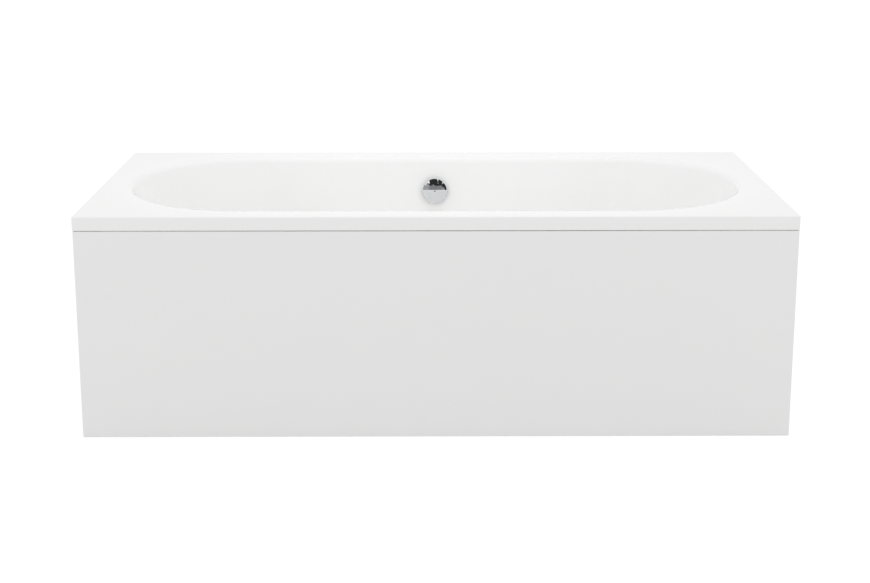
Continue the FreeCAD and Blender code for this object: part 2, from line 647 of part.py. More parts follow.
def screw_foot(name, x, y):
    """A threaded stud standing in a plastic foot."""
    stud = ring(f"foot_stud_{name}", "0", "stud_radius", "pad_sole",
                "board_under + nut_height + stud_spare")
    node(place(stud, x=x, y=y), f"foot_stud_{name}")
    profile = [("0", "0"), ("pad_radius", "0"), ("pad_radius", "pad_sole / 2"),
               ("pad_neck", "pad_sole + 2"), ("pad_neck", "pad_height"), ("stud_radius", "pad_height"),
               ("stud_radius", "pad_sole"), ("0", "pad_sole")]
    node(place(turned_body(f"foot_pad_{name}", profile), x=x, y=y), f"foot_pad_{name}")


# ---------------------------------------------------------------------------------------------
# Front panel and its catches

def front_panel():
    skin = new_body("skin")
    face = extrude(skin, rectangle(skin, "outline", ("-(panel_half)", "panel_half"),
                                   ("panel_floor", "panel_top"), "XZ_Plane", "panel_back"),
                   "panel_return", "face")
    front = -value("panel_face")
    edged = round_edges(skin, face, "panel_edge", "front_edge",
                        lambda b: b.YMax < front + 0.01)
    inner = "panel_half - panel_skin"
    cut_in(skin, rectangle(skin, "hollow", (f"-({inner})", inner),
                           ("panel_floor + panel_skin", "panel_top - panel_skin"), "XZ_Plane",
                           "panel_back"), "panel_return - panel_skin", "hollow_cut", forward=True)
    node(skin, "apron_skin")

    half = f"{inner} - panel_play"
    depth = ("-(panel_face - panel_skin)", "-(panel_back)")
    low, high = "panel_floor + panel_skin + panel_play", "panel_top - panel_skin - panel_play"
    for label, base in (("apron_bottom_rail", low), ("apron_top_rail", f"{high} - panel_rail")):
        rail = new_body(label)
        extrude(rail, rectangle(rail, "outline", (f"-({half})", half), depth, offset=base), "panel_rail")
        node(rail, label)
    posts = new_body("posts")
    posts.AllowCompound = True
    outlines = sketch_on(posts, "outlines", "XY_Plane", f"{low} + panel_rail")
    for step in (-1, 0, 1):
        middle = f"{step} * panel_posts"
        rectangle(posts, "outline", (f"{middle} - panel_post / 2", f"{middle} + panel_post / 2"),
                  depth, sketch=outlines)
    extrude(posts, outlines, f"{high} - ({low}) - 2 * panel_rail")
    node(posts, "apron_stiffeners")

    for label, near, far in (("catch_plates", "panel_back - catch_plate", "panel_back"),
                             ("magnet_catches", "bar_length / 2 + strut_steel",
                              "panel_back - catch_plate - catch_gap")):
        catches = new_body(label)
        catches.AllowCompound = True
        outlines = sketch_on(catches, "outlines", "XY_Plane", "panel_top - catch_drop")
        for side in (-1, 1):
            middle = f"{side} * bar_spread"
            rectangle(catches, "outline", (f"{middle} - strut_width / 2", f"{middle} + strut_width / 2"),
                      (f"-({far})", f"-({near})"), sketch=outlines)
        extrude(catches, outlines, "catch_height")
        node(catches, label)


# ---------------------------------------------------------------------------------------------
# Overflow: its own frame lies on the back wall, +Z into the bowl and +Y up the slope

def on_wall(body, label):
    """Set a body made in the overflow's frame on the slope of the back wall."""
    return node(place(body, y="overflow_y", z="overflow_level", turn="90 deg - side_slope",
                      about=ALONG), label)


def behind_wall(offset, drop):
    """The Y and Z of a point behind the back wall, dropped down its slope from the overflow."""
    return (f"overflow_y + ({offset}) * cos(side_slope) - ({drop}) * sin(side_slope)",
            f"overflow_level - ({offset}) * sin(side_slope) - ({drop}) * cos(side_slope)")


def spider(body, reach, low, depth, bore):
    """A hub on two spokes across a bore, drilled for a sliding or turning rod."""
    extrude(body, rectangle(body, "spokes", (f"-({reach})", reach),
                            ("-spoke_width / 2", "spoke_width / 2"), offset=low), depth, "spokes_pad")
    extrude(body, circles(body, "hub", [("0", "0")], "hub_radius", offset=low), depth, "hub_pad")
    cut_in(body, circles(body, "hub_bore", [("0", "0")], bore, offset=f"{low} + {depth}"), depth,
           "hub_bore_cut")


def overflow_ring():
    """The chrome ring whose collar screws into the overflow body and carries the spindle."""
    thread = "neck_bore - thread_slack"
    bore = f"{thread} - collar_wall"
    body = turned_body("overflow_ring", [
        (bore, "-collar_depth"), (thread, "-collar_depth"), (thread, "0"), ("ring_radius", "0"),
        ("ring_radius", "ring_plate / 2"), ("ring_radius - ring_plate / 2", "ring_plate"),
        (bore, "ring_plate")])
    spider(body, f"{bore} + collar_wall / 2", "-collar_depth", "spoke_depth",
           "spindle_radius + spindle_fit")
    on_wall(body, "overflow_ring")


def overflow_body():
    """The plastic cup behind the wall, with a neck, a spigot down the slope and a back plate."""
    front, back = "-(cup_front)", "-(cup_back)"
    body = turned_body("overflow_body", [
        ("neck_bore", "-(seal_back)"), ("neck_bore", "-ring_plate / 6"),
        ("neck_radius", "-ring_plate / 6"), ("neck_radius", "-(seal_back)"),
        ("seal_radius", "-(seal_back)"), ("seal_radius", front), ("cup_radius", front),
        ("cup_radius", back), ("0", back), ("0", f"{back} + plastic_wall"),
        ("cup_radius - plastic_wall", f"{back} + plastic_wall"),
        ("cup_radius - plastic_wall", front), ("neck_bore", front)])
    half = "cover_half"
    extrude(body, rectangle(body, "back_plate", (f"-{half}", "cover_side"), (f"-{half}", half),
                            offset=back), "plastic_wall", "back_plate_pad")
    centre = [("0", "-(pipe_place)")]
    start = "cup_radius - 2 * plastic_wall"
    extrude(body, circles(body, "spigot", centre, "pipe_radius", "XZ_Plane", start),
            f"spigot_drop - ({start})", "spigot_pad")
    cut_in(body, circles(body, "spigot_bore", centre, "pipe_radius - pipe_wall", "XZ_Plane",
                         "cup_radius / 2"), "spigot_drop", "spigot_bore_cut", forward=True)
    cut_in(body, circles(body, "bearing", [("0", "0")], "spindle_radius + spindle_fit",
                         offset=f"{back} + plastic_wall"), "plastic_wall", "bearing_cut")
    on_wall(body, "overflow_body")


def overflow_knob():
    """The round knob, a shallow dome on a short skirt, with the spindle that turns the cable."""
    low = "knob_stand"
    top = f"{low} + knob_skirt"
    inside = "knob_radius - knob_wall"
    crown = "((knob_radius - 3)^2 + knob_dome^2) / (2 * knob_dome)"
    profile = [("0", f"{top} + knob_dome"), ("0", f"{top} - 1"), ("spindle_radius", f"{top} - 1"),
               ("spindle_radius", low), ("hub_radius", low), ("hub_radius", f"{top} - knob_wall"),
               (inside, f"{top} - knob_wall"), (inside, low), ("knob_radius", low),
               ("knob_radius", f"{top} - 3"), ("knob_radius - 3", top)]
    body = turned_body("knob", profile, arcs={9: "3", 10: crown})
    on_wall(body, "overflow_knob")
    drum = "-(cup_back) - drum_gap"
    spindle = turned_body("spindle", [
        ("0", f"{top} - 1"), ("spindle_radius", f"{top} - 1"), ("spindle_radius", drum),
        ("drum_radius", drum), ("drum_radius", f"{drum} - drum_length"),
        ("0", f"{drum} - drum_length")])
    on_wall(spindle, "knob_spindle")


def cable_cover():
    """A box over the drum, open towards the overflow body's back plate."""
    body = new_body("cover")
    half, back = "cover_half", "-(cup_back)"
    extrude(body, rectangle(body, "outline", (f"-{half}", "cover_side"), (f"-{half}", half),
                            offset=back), "cover_depth", down=True)
    wall = "cover_wall"
    cut_in(body, rectangle(body, "hollow", (f"-{half} + {wall}", f"cover_side - {wall}"),
                           (f"-{half} + {wall}", f"{half} - {wall}"), offset=back),
           f"cover_depth - {wall}", "hollow_cut")
    on_wall(body, "cable_cover")


def overflow_pipe():
    """The pipe down the back of the bowl to the waste, with a union nut at each end."""
    top_y, top_z = behind_wall("pipe_place", "spigot_drop")
    corner = f"{top_y} - ({top_z} - branch_level) * tan(side_slope)"
    reach = "pipe_bend * tan(45 deg - side_slope / 2)"
    path = [("branch_reach", "branch_level"), (f"{corner} - {reach}", "branch_level"),
            (f"{corner} + {reach} * sin(side_slope)", f"branch_level + {reach} * cos(side_slope)"),
            (top_y, top_z)]
    node(sweep("pipe", path, path[0], "pipe_radius", "pipe_wall", "pipe_bend"), "overflow_pipe")
    bore = "pipe_radius + thread_slack"
    top = new_body("nut_top")
    sketch = circles(top, "section", [("0", "-(pipe_place)")], "union_radius", "XZ_Plane",
                     "spigot_drop - union_length / 2")
    circles(top, "section", [("0", "-(pipe_place)")], bore, sketch=sketch)
    extrude(top, sketch, "union_length")
    on_wall(top, "overflow_nut_top")
    bottom = new_body("nut_bottom")
    sketch = circles(bottom, "section", [("0", "branch_level")], "union_radius", "XZ_Plane",
                     "-(branch_reach)")
    circles(bottom, "section", [("0", "branch_level")], bore, sketch=sketch)
    extrude(bottom, sketch, "union_length", middle=True)
    node(bottom, "overflow_nut_bottom")


def cable_sheath():
    """The control cable, from under the drum's cover down to the lever housing."""
    top_y, top_z = behind_wall("cable_place", "cover_half")
    corner = f"{top_y} - ({top_z} - (cable_level)) * tan(side_slope)"
    reach = "cable_bend * tan(45 deg - side_slope / 2)"
    path = [("housing_front", "cable_level"), (f"{corner} - {reach}", "cable_level"),
            (f"{corner} + {reach} * sin(side_slope)", f"cable_level + {reach} * cos(side_slope)"),
            (top_y, top_z)]
    node(sweep("sheath", path, path[0], "cable_radius", None, "cable_bend", "cable_side"),
         "cable_sheath")


# ---------------------------------------------------------------------------------------------
# Waste, plug, lever and trap

def waste_flange():
    """The chrome seat in the floor, its threaded neck and the guide for the plug's stem."""
    bottom = "plate_under - neck_length"
    body = turned_body("flange", [
        ("waste_bore", bottom), ("waste_thread", bottom), ("waste_thread", "plate_under"),
        ("waste_flange", "plate_under"), ("waste_flange", "plate_top - waste_plate / 2"),
        ("waste_flange - 2", "plate_top"), ("waste_flange - 8", "seat_level"),
        ("waste_bore", "plate_under")])
    low = "floor_level - guide_drop"
    spider(body, "(waste_bore + waste_thread) / 2", low, "guide_depth", "stem_radius + spindle_fit")
    node(body, "waste_flange")
    node(ring("seal", "waste_hole", "waste_flange - 2", "floor_level", "plate_under"), "waste_seal_top")
    node(ring("seal", "waste_hole", "body_flange", "body_top", "shell_under"), "waste_seal_bottom")


def waste_body():
    """The plastic waste under the floor: flange, chamber, overflow branch, trap lid, dip tube."""
    lid_under = "lid_level - lid_plate"
    skirt = "trap_radius + trap_slack"
    dip = "dip_radius - pipe_wall"
    body = turned_body("waste", [
        ("body_flange", "body_top"), ("body_flange", "body_top - body_plate"),
        ("body_radius", "body_top - body_plate"), ("body_radius", "lid_level"),
        ("lid_radius", "lid_level"), ("lid_radius", "lid_level - lid_skirt"),
        (skirt, "lid_level - lid_skirt"), (skirt, lid_under), ("dip_radius", lid_under),
        ("dip_radius", "dip_bottom"), (dip, "dip_bottom"), (dip, "lid_level + plastic_wall"),
        ("body_bore", "lid_level + 3 * plastic_wall"), ("body_bore", "body_top")])
    branch = [("0", "branch_level")]
    extrude(body, circles(body, "branch", branch, "pipe_radius", "XZ_Plane", "-(branch_reach)"),
            "branch_reach - body_radius + plastic_wall", "branch_pad")
    cut_in(body, circles(body, "branch_bore", branch, "pipe_radius - pipe_wall", "XZ_Plane",
                         "-(branch_reach)"), "branch_reach - body_bore / 2", "branch_bore_cut",
           forward=True)
    pivot = [("-lever_back", "lever_level")]
    inner = "housing_inner - 10"
    extrude(body, circles(body, "lever_boss", pivot, "2 * lever_radius", "YZ_Plane", inner), "10",
            "lever_boss_pad")
    cut_in(body, circles(body, "lever_bore", pivot, "lever_radius + spindle_fit", "YZ_Plane",
                         "housing_inner"), "housing_inner - body_bore / 2", "lever_bore_cut")
    node(body, "waste_body")


def lever_housing():
    """A closed box for the crank, with a hole for the lever's shaft and one for the cable."""
    body = new_body("housing")
    outer_y, outer_z = ("-(housing_back)", "housing_front"), ("housing_low", "housing_low + housing_tall")
    extrude(body, rectangle(body, "outline", outer_y, outer_z, "YZ_Plane", "housing_inner"),
            "housing_width")
    wall = "housing_wall"
    shell = document.addObject("Part::Box", "housing_space")
    bind(shell, Length=f"housing_width - 2 * {wall}",
         Width=f"housing_back + housing_front - 2 * {wall}", Height=f"housing_tall - 2 * {wall}")
    place(shell, x=f"housing_inner + {wall}", y=f"-(housing_back) + {wall}", z=f"housing_low + {wall}")
    shaft = drill("shaft_cutter", "lever_radius + bolt_slack", f"2 * {wall}", x=f"housing_inner - {wall} / 2",
                  y="-lever_back", z="lever_level", turn="90 deg", about=FreeCAD.Vector(0, 1, 0))
    wire = drill("wire_cutter", "cable_radius / 2", f"2 * {wall}", x="cable_side",
                 y=f"housing_front + {wall} / 2", z="cable_level", turn="90 deg", about=ALONG)
    spaces = document.addObject("Part::MultiFuse", "housing_spaces")
    spaces.Shapes = [shell, shaft, wire]
    box = document.addObject("Part::Cut", "housing_box")
    box.Base, box.Tool = body, spaces
    node(box, "lever_housing")


def lift_lever():
    """A shaft with an arm under the plug's stem and a crank for the cable, at rest arm down."""
    body = new_body("lever")
    half = "lever_radius"
    crank = "cable_side - crank_width / 2"
    extrude(body, circles(body, "shaft", [("0", "0")], half, "YZ_Plane", f"-{half}"),
            f"{crank} + crank_width + {half} + 1", "shaft_pad")
    for name, start, width, tip, x, y in (
            ("arm", f"-{half}", f"2 * {half}", ("lever_back", "0"), ("0", "lever_back"), (f"-{half}", half)),
            ("crank", crank, "crank_width", ("0", "crank_arm"), (f"-{half}", half), ("0", "crank_arm"))):
        extrude(body, rectangle(body, f"{name}_web", x, y, "YZ_Plane", start), width, f"{name}_web_pad")
        extrude(body, circles(body, f"{name}_tip", [tip], half, "YZ_Plane", start), width,
                f"{name}_tip_pad")
    node(place(body, y="-lever_back", z="lever_level", turn="-lever_swing / 2", about=ALONG),
         "lift_lever")


def plug():
    """The domed plug, its rubber seal and the stem that the lever lifts."""
    top = "plug_under + plug_edge + plug_rise"
    crown = "(plug_radius^2 + plug_rise^2) / (2 * plug_rise)"
    under = "plug_under - plug_core_drop"
    cap = turned_body("cap", [
        ("0", top), ("0", "plug_under"), ("stem_radius", "plug_under"), ("stem_radius", under),
        ("plug_core", under), ("plug_core", "plug_under"), ("plug_radius", "plug_under"),
        ("plug_radius", "plug_under + plug_edge")], arcs={7: crown})
    node(cap, "plug_cap")
    rim = "plug_seal_radius"
    seal = turned_body("plug_ring", [
        ("plug_core", "seal_low"), (f"{rim} - 2", "seal_low"), (rim, "seal_low + 3 * seat_rise"),
        (rim, "plug_under"), ("plug_core", "plug_under")])
    node(seal, "plug_seal")
    node(ring("stem", "0", "stem_radius", "stem_bottom", "plug_under"), "plug_stem")


def trap():
    """The bottle trap's cup with its outlet, the seal, and the outlet's nut and tail."""
    floor = "trap_floor + trap_wall"
    inner = "trap_radius - trap_wall"
    cup = turned_body("cup", [("0", "trap_floor"), ("trap_radius", "trap_floor"),
                              ("trap_radius", "trap_top"), (inner, "trap_top"), (inner, floor),
                              ("0", floor)])
    centre = [("0", "outlet_level")]
    start = "trap_radius - trap_wall"
    extrude(cup, circles(cup, "outlet", centre, "outlet_radius", "YZ_Plane", f"{start} - trap_wall"),
            f"outlet_reach - ({start} - trap_wall)", "outlet_pad")
    cut_in(cup, circles(cup, "outlet_bore", centre, "outlet_radius - pipe_wall", "YZ_Plane",
                        "outlet_reach"), "outlet_reach - dip_radius - 4", "outlet_bore_cut")
    node(cup, "trap_cup")
    node(ring("seal", f"{inner}", "trap_radius", "trap_top", "trap_top + trap_seal"), "trap_seal")
    # the tail's bead stands against the nut's outer face
    inside, nut_end = "outlet_radius - pipe_wall", "outlet_reach + outlet_nut_length / 2"
    for label, runs in (
            ("outlet_nut", [("outlet_reach - outlet_nut_length / 2", "outlet_nut",
                             "outlet_radius + thread_slack", "outlet_nut_length")]),
            ("outlet_tail", [("outlet_reach", "outlet_radius", inside, "outlet_end - outlet_reach"),
                             (nut_end, "outlet_radius + outlet_bead", inside, "1.5 * outlet_bead")])):
        body = new_body(label)
        for number, (start, radius, bore, length) in enumerate(runs):
            sketch = circles(body, f"section_{number}", centre, radius, "YZ_Plane", start)
            circles(body, "", centre, bore, sketch=sketch)
            extrude(body, sketch, length, f"run_{number}")
        node(body, label)


bath_shell_and_backing()
rim_rails()
cradle()
fasteners()
for foot_name, (foot_x, foot_y) in FEET.items():
    screw_foot(foot_name, foot_x, foot_y)
front_panel()
overflow_ring()
on_wall(ring("seal", "cup_radius - plastic_wall", "seal_radius", "-(seal_back)", "-(wall_back)"),
        "overflow_seal")
overflow_body()
overflow_knob()
cable_cover()
overflow_pipe()
cable_sheath()
waste_flange()
waste_body()
lever_housing()
lift_lever()
plug()
trap()
document.recompute()

# Nothing is written unless every object is sound.
for thing in document.Objects:
    if "Invalid" in thing.State or "Error" in thing.State:
        raise ValueError(f"{thing.Name} {thing.Label} failed: {thing.State}")
for thing in nodes:
    if thing.Shape.isNull() or not thing.Shape.isValid() or not thing.Shape.Solids:
        raise ValueError(f"{thing.Label} is not a valid solid")

os.makedirs("parts", exist_ok=True)
for thing in nodes:
    thing.Shape.exportStep(os.path.join("parts", f"{thing.Label}.step"))
print(f"{len(nodes)} nodes written")
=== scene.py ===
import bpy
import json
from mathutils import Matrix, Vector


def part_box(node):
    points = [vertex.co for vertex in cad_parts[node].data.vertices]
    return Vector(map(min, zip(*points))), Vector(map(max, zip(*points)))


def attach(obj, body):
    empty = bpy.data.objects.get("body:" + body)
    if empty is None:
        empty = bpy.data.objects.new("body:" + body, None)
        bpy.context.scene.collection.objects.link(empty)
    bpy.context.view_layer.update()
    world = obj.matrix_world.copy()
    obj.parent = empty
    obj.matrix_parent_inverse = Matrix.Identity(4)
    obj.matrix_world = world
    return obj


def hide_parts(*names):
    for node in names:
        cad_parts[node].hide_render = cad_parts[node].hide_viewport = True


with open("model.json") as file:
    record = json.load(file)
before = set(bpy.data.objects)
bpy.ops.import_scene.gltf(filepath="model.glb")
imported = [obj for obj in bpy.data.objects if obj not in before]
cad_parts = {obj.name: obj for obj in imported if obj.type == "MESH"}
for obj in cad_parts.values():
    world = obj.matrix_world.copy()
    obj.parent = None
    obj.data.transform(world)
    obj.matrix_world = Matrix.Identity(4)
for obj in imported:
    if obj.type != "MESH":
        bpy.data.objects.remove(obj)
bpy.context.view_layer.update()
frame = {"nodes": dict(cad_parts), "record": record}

import json
import math

import bmesh
import bpy
from mathutils import Matrix, Vector

# An alcove bathtub. Metres, +X along the bath, -Y towards the front panel, +Z up.
FEET = ("front_left", "front_right", "rear_left", "rear_right")
nodes = frame["nodes"]

# Sizes and places that the solids have too
BACK_WALL_TILT = -math.atan2(0.076, 0.430)
KNOB_MIDDLE = (0.0, 0.309, 0.483)
STUD_RADIUS, STUD_PITCH = 0.005, 0.0015
FOOT_NUT_FLATS, FOOT_NUT_HEIGHT = 0.017, 0.008
BOLT_RADIUS, BOLT_PITCH, BOLT_FLATS, BOLT_HEAD = 0.003, 0.001, 0.010, 0.004
NUT_SLACK = 0.00005
SCREW_HEAD, SCREW_SHANK, SCREW_CAP, SCREW_GRIP = 0.004, 0.002, 0.0025, 0.014
SCREW_STEP = 0.007
UNION_RADIUS, UNION_BORE, UNION_LENGTH, UNION_RIBS = 0.020, 0.0171, 0.018, 12
OUTLET_RADIUS, OUTLET_BORE, OUTLET_LENGTH, OUTLET_RIBS = 0.027, 0.0201, 0.020, 16


# ---------------------------------------------------------------------------------------------
# Camera, light and floor

def clear_selection():
    """Leave edit mode and select nothing."""
    if bpy.context.object and bpy.context.object.mode != "OBJECT":
        bpy.ops.object.mode_set(mode="OBJECT")
    bpy.ops.object.select_all(action="DESELECT")


def set_camera():
    """A normal lens in front of the bath, looking a little down on the rim."""
    lens = bpy.data.cameras.new("camera")
    lens.lens, lens.sensor_width, lens.shift_y = 59.656, 36.0, -0.145
    # from near enough for close views to past the edge of the floor
    lens.clip_start, lens.clip_end = 0.05, 200.0
    camera = bpy.data.objects.new("camera", lens)
    bpy.context.scene.collection.objects.link(camera)
    camera.location = (-0.024, -3.8474, 1.4407)
    camera.rotation_euler = (math.radians(78.022), 0.0, math.radians(-0.338))
    bpy.context.scene.camera = camera
    bpy.context.scene.view_settings.view_transform = "Standard"


def soft_light(name, place, aim, size, watts):
    """A square softbox that faces the point it lights; returns its lamp."""
    lamp = bpy.data.lights.new(name, "AREA")
    lamp.shape, lamp.size, lamp.energy = "SQUARE", size, watts
    box = bpy.data.objects.new(name, lamp)
    bpy.context.scene.collection.objects.link(box)
    box.location = place
    box.rotation_euler = (Vector(aim) - Vector(place)).to_track_quat("-Z", "Y").to_euler()
    box.visible_camera = box.visible_glossy = False
    return lamp


def put(tree, kind, settings=None, **inputs):
    """Add a shader node, set its options, and fill its inputs with values or other outputs."""
    node = tree.nodes.new("ShaderNode" + kind)
    for name, value in (settings or {}).items():
        setattr(node, name, value)
    for name, value in inputs.items():
        plug = node.inputs[int(name[1:]) if name[0] == "_" else name.replace("_", " ")]
        if isinstance(value, bpy.types.NodeSocket):
            tree.links.new(value, plug)
        else:
            plug.default_value = value
    return node


def maths(tree, operation, *values):
    """The result of a calculation with numbers or the outputs of other nodes."""
    return put(tree, "Math", {"operation": operation},
               **{f"_{number}": value for number, value in enumerate(values)}).outputs[0]


def mixed(tree, amount, first, second, blend="MIX"):
    """A colour between two, by a mask; each is a colour or the output of another node."""
    first, second = (end if isinstance(end, bpy.types.NodeSocket) else (*end, 1.0)
                     for end in (first, second))
    return put(tree, "Mix", {"data_type": "RGBA", "blend_type": blend}, _0=amount, _6=first,
               _7=second).outputs[2]


def surfaced(tree, shader):
    """Send a shader to the surface of its material or world."""
    kind = "OutputWorld" if shader.bl_idname == "ShaderNodeBackground" else "OutputMaterial"
    tree.links.new(shader.outputs[0], put(tree, kind).inputs["Surface"])


def emptied(holder):
    """The node tree of a new material or world, without its first nodes."""
    holder.use_nodes = True
    holder.node_tree.nodes.clear()
    return holder.node_tree


def seen_directly(tree):
    """1 for rays from the camera, a mirror or glass, else 0."""
    path = put(tree, "LightPath").outputs
    either = maths(tree, "MAXIMUM", path["Is Camera Ray"], path["Is Glossy Ray"])
    return maths(tree, "MAXIMUM", either, path["Is Transmission Ray"])


def sent_from(tree, middle, reach):
    """1 for rays that start within reach of a place, else 0."""
    here = put(tree, "NewGeometry")
    back = put(tree, "VectorMath", {"operation": "SCALE"}, _0=here.outputs["Incoming"],
               Scale=put(tree, "LightPath").outputs["Ray Length"]).outputs[0]
    start = put(tree, "VectorMath", {"operation": "ADD"}, _0=here.outputs["Position"],
                _1=back).outputs[0]
    away = put(tree, "VectorMath", {"operation": "DISTANCE"}, _0=start, _1=middle).outputs["Value"]
    return maths(tree, "LESS_THAN", away, reach)


def light_the_studio():
    """A pale surround that is white where it is seen, and four softboxes that nothing mirrors."""
    world = bpy.data.worlds.new("studio")
    bpy.context.scene.world = world
    tree = emptied(world)
    tone = mixed(tree, seen_directly(tree), (0.88, 0.88, 0.88), (1.0, 1.0, 1.0))
    surfaced(tree, put(tree, "Background", Color=tone, Strength=1.0))
    soft_light("overhead_softbox", (0.2, 0.3, 3.2), (0.0, 0.0, 0.5), 3.2, 3.0)
    soft_light("left_softbox", (-3.4, -3.5, 2.3), (0.0, 0.1, 0.4), 2.4, 16.0)
    soft_light("right_softbox", (3.6, -3.3, 2.3), (0.0, 0.1, 0.4), 2.4, 14.0)
    strip = soft_light("bowl_softbox", (0.0, 0.0, 1.45), (0.0, 0.0, 0.0), 1.25, 0.6)
    strip.shape, strip.size_y, strip.spread = "RECTANGLE", 0.42, math.radians(60.0)


def paint_knob_reflection():
    """Glowing grey cards and dark patches in front of the bath: a painted reflection in the knob.
    """
    card_depth, patch_depth, patch_step = -2.1, -2.0, -0.004
    knob_reach = 0.06    # farther from the knob's middle than any point of the knob
    upright = (math.radians(90.0), 0.0, 0.0)
    # name, tone, corners, and the x, z, width and height of each spot
    flags = (("pale_card", 0.40, 4, ((-1.25, 1.13, 1.5, 0.54),)),
             ("grey_card", 0.25, 4, ((0.10, 1.13, 1.4, 0.54),)),
             ("warm_card", 0.33, 4, ((1.35, 1.10, 1.3, 0.48),)),
             # painted reflection: dark patches that stand in for the dark studio mirrored in the
             # knob's top half
             ("dark_reflection_patch", 0.03, 14, ((-0.26, 1.82, 0.62, 0.96), (0.05, 1.68, 0.58, 0.78),
                                       (-0.40, 1.42, 0.46, 0.28), (0.58, 1.70, 0.48, 0.84),
                                       (0.28, 1.40, 0.62, 0.30), (0.92, 1.32, 0.40, 0.46),
                                       (1.14, 1.06, 0.28, 0.52), (-0.74, 1.48, 0.24, 0.18),
                                       (-1.26, 0.90, 0.12, 0.14))))
    for name, tone, corners, spots in flags:
        felt = bpy.data.materials.new(name)
        tree = emptied(felt)
        # painted reflection: each card glows, and only rays reflected from the knob see it
        painted_reflection_glow = put(tree, "Emission", Color=(tone, tone, tone, 1.0), Strength=1.0)
        surfaced(tree, put(tree, "MixShader", _0=sent_from(tree, KNOB_MIDDLE, knob_reach),
                           _1=put(tree, "BsdfTransparent").outputs[0], _2=painted_reflection_glow.outputs[0]))
        for number, (x, z, width, height) in enumerate(spots):
            clear_selection()
            if corners == 4:
                bpy.ops.mesh.primitive_plane_add(size=1.0, rotation=upright,
                                                 location=(x, card_depth, z))
            else:
                bpy.ops.mesh.primitive_circle_add(
                    vertices=corners, radius=0.5, fill_type="NGON", rotation=upright,
                    location=(x, patch_depth + patch_step * number, z))
            flag = bpy.context.object
            flag.name = f"{name}_{number}"
            flag.scale = (width, height, 1.0)
            flag.data.materials.append(felt)
            for rays in ("camera", "diffuse", "transmission", "volume_scatter", "shadow"):
                setattr(flag, f"visible_{rays}", False)


def lay_floor():
    """A pale floor: white where seen, with a faint shadow, and clear above a lowered foot."""
    clear_selection()
    bpy.ops.mesh.primitive_plane_add(size=60.0, location=(0.0, 0.0, 0.0))
    floor = bpy.context.object
    floor.name = "floor"
    paint = bpy.data.materials.new("floor_paint")
    tree = emptied(paint)
    plain = put(tree, "BsdfDiffuse", Color=(0.74, 0.74, 0.74, 1.0))
    clear = put(tree, "BsdfTransparent", Color=(1.08, 1.08, 1.08, 1.0))
    share = maths(tree, "MULTIPLY", seen_directly(tree), 0.9)
    surfaced(tree, put(tree, "MixShader", _0=share, _1=plain.outputs[0], _2=clear.outputs[0]))
    floor.data.materials.append(paint)


# ---------------------------------------------------------------------------------------------
# Surface patterns, each a group that the finishes place with their own values

def pattern(name, numbers, outputs):
    """A node group that reads a place and named numbers, with what it is given and gives."""
    tree = bpy.data.node_groups.new(name, "ShaderNodeTree")
    tree.interface.new_socket("Place", in_out="INPUT", socket_type="NodeSocketVector")
    for label, number in numbers.items():
        socket = tree.interface.new_socket(label, in_out="INPUT", socket_type="NodeSocketFloat")
        socket.default_value = number
    for label in outputs:
        tree.interface.new_socket(label, in_out="OUTPUT", socket_type="NodeSocketFloat")
    return tree, tree.nodes.new("NodeGroupInput").outputs, tree.nodes.new("NodeGroupOutput").inputs


def stretched(tree, place, turn, scale):
    """The same place, turned and then scaled along its own axes."""
    turned = put(tree, "Mapping", Vector=place, Rotation=turn)
    return put(tree, "Mapping", Vector=turned.outputs[0], Scale=scale).outputs[0]


def spread(tree, value, low, high, out_low=0.0, out_high=1.0):
    """Stretch the part of a value between low and high to a new range."""
    return put(tree, "MapRange", _0=value, _1=low, _2=high, _3=out_low, _4=out_high).outputs[0]


def noise(tree, place, scale, detail, roughness=0.5):
    """A cloudy pattern; its colour holds three that differ."""
    return put(tree, "TexNoise", Vector=place, Scale=scale, Detail=detail, Roughness=roughness)


def shifted(tree, place, wander, reach):
    """A place moved about by a noise's colour, up to the reach along each axis."""
    return put(tree, "VectorMath", {"operation": "MULTIPLY_ADD"}, _0=wander.outputs["Color"],
               _1=reach, _2=place).outputs[0]


def polish_haze():
    """Slow waviness and fine haze of a polished or moulded skin."""
    tree, given, gives = pattern("polish_haze", {"Waves": 9.0, "Grain": 420.0}, ("Wave", "Haze"))
    place = given["Place"]
    slow = noise(tree, place, given["Waves"], 2.0, 0.4)
    fine = noise(tree, place, given["Grain"], 3.0, 0.6)
    cloudy = noise(tree, place, 2.6, 4.0, 0.55)
    clouds = maths(tree, "MULTIPLY", cloudy.outputs[0], 0.65)
    tree.links.new(slow.outputs[0], gives["Wave"])
    tree.links.new(maths(tree, "MULTIPLY_ADD", fine.outputs[0], 0.35, clouds), gives["Haze"])
    return tree


def chopped_strands():
    """Short glass strands laid every way and wetted out in resin."""
    tree, given, gives = pattern("chopped_strands", {}, ("Strands", "Lumps"))
    place = given["Place"]
    bent = shifted(tree, place, noise(tree, place, 14.0, 1.0), (0.016, 0.016, 0.016))
    layers = []
    for turn in ((0.0, 0.0, 0.3), (0.4, 0.9, 1.4), (1.2, 0.3, 2.2), (0.7, 1.5, 0.2),
                 (1.6, 0.8, 2.7)):
        streaks = noise(tree, stretched(tree, bent, turn, (26.0, 520.0, 520.0)), 1.0, 1.0, 0.3)
        layers.append(spread(tree, streaks.outputs[0], 0.58, 0.72))
    total = layers[0]
    for layer in layers[1:]:
        total = maths(tree, "MAXIMUM", total, layer)
    tree.links.new(total, gives["Strands"])
    tree.links.new(noise(tree, place, 34.0, 4.0, 0.6).outputs[0], gives["Lumps"])
    return tree


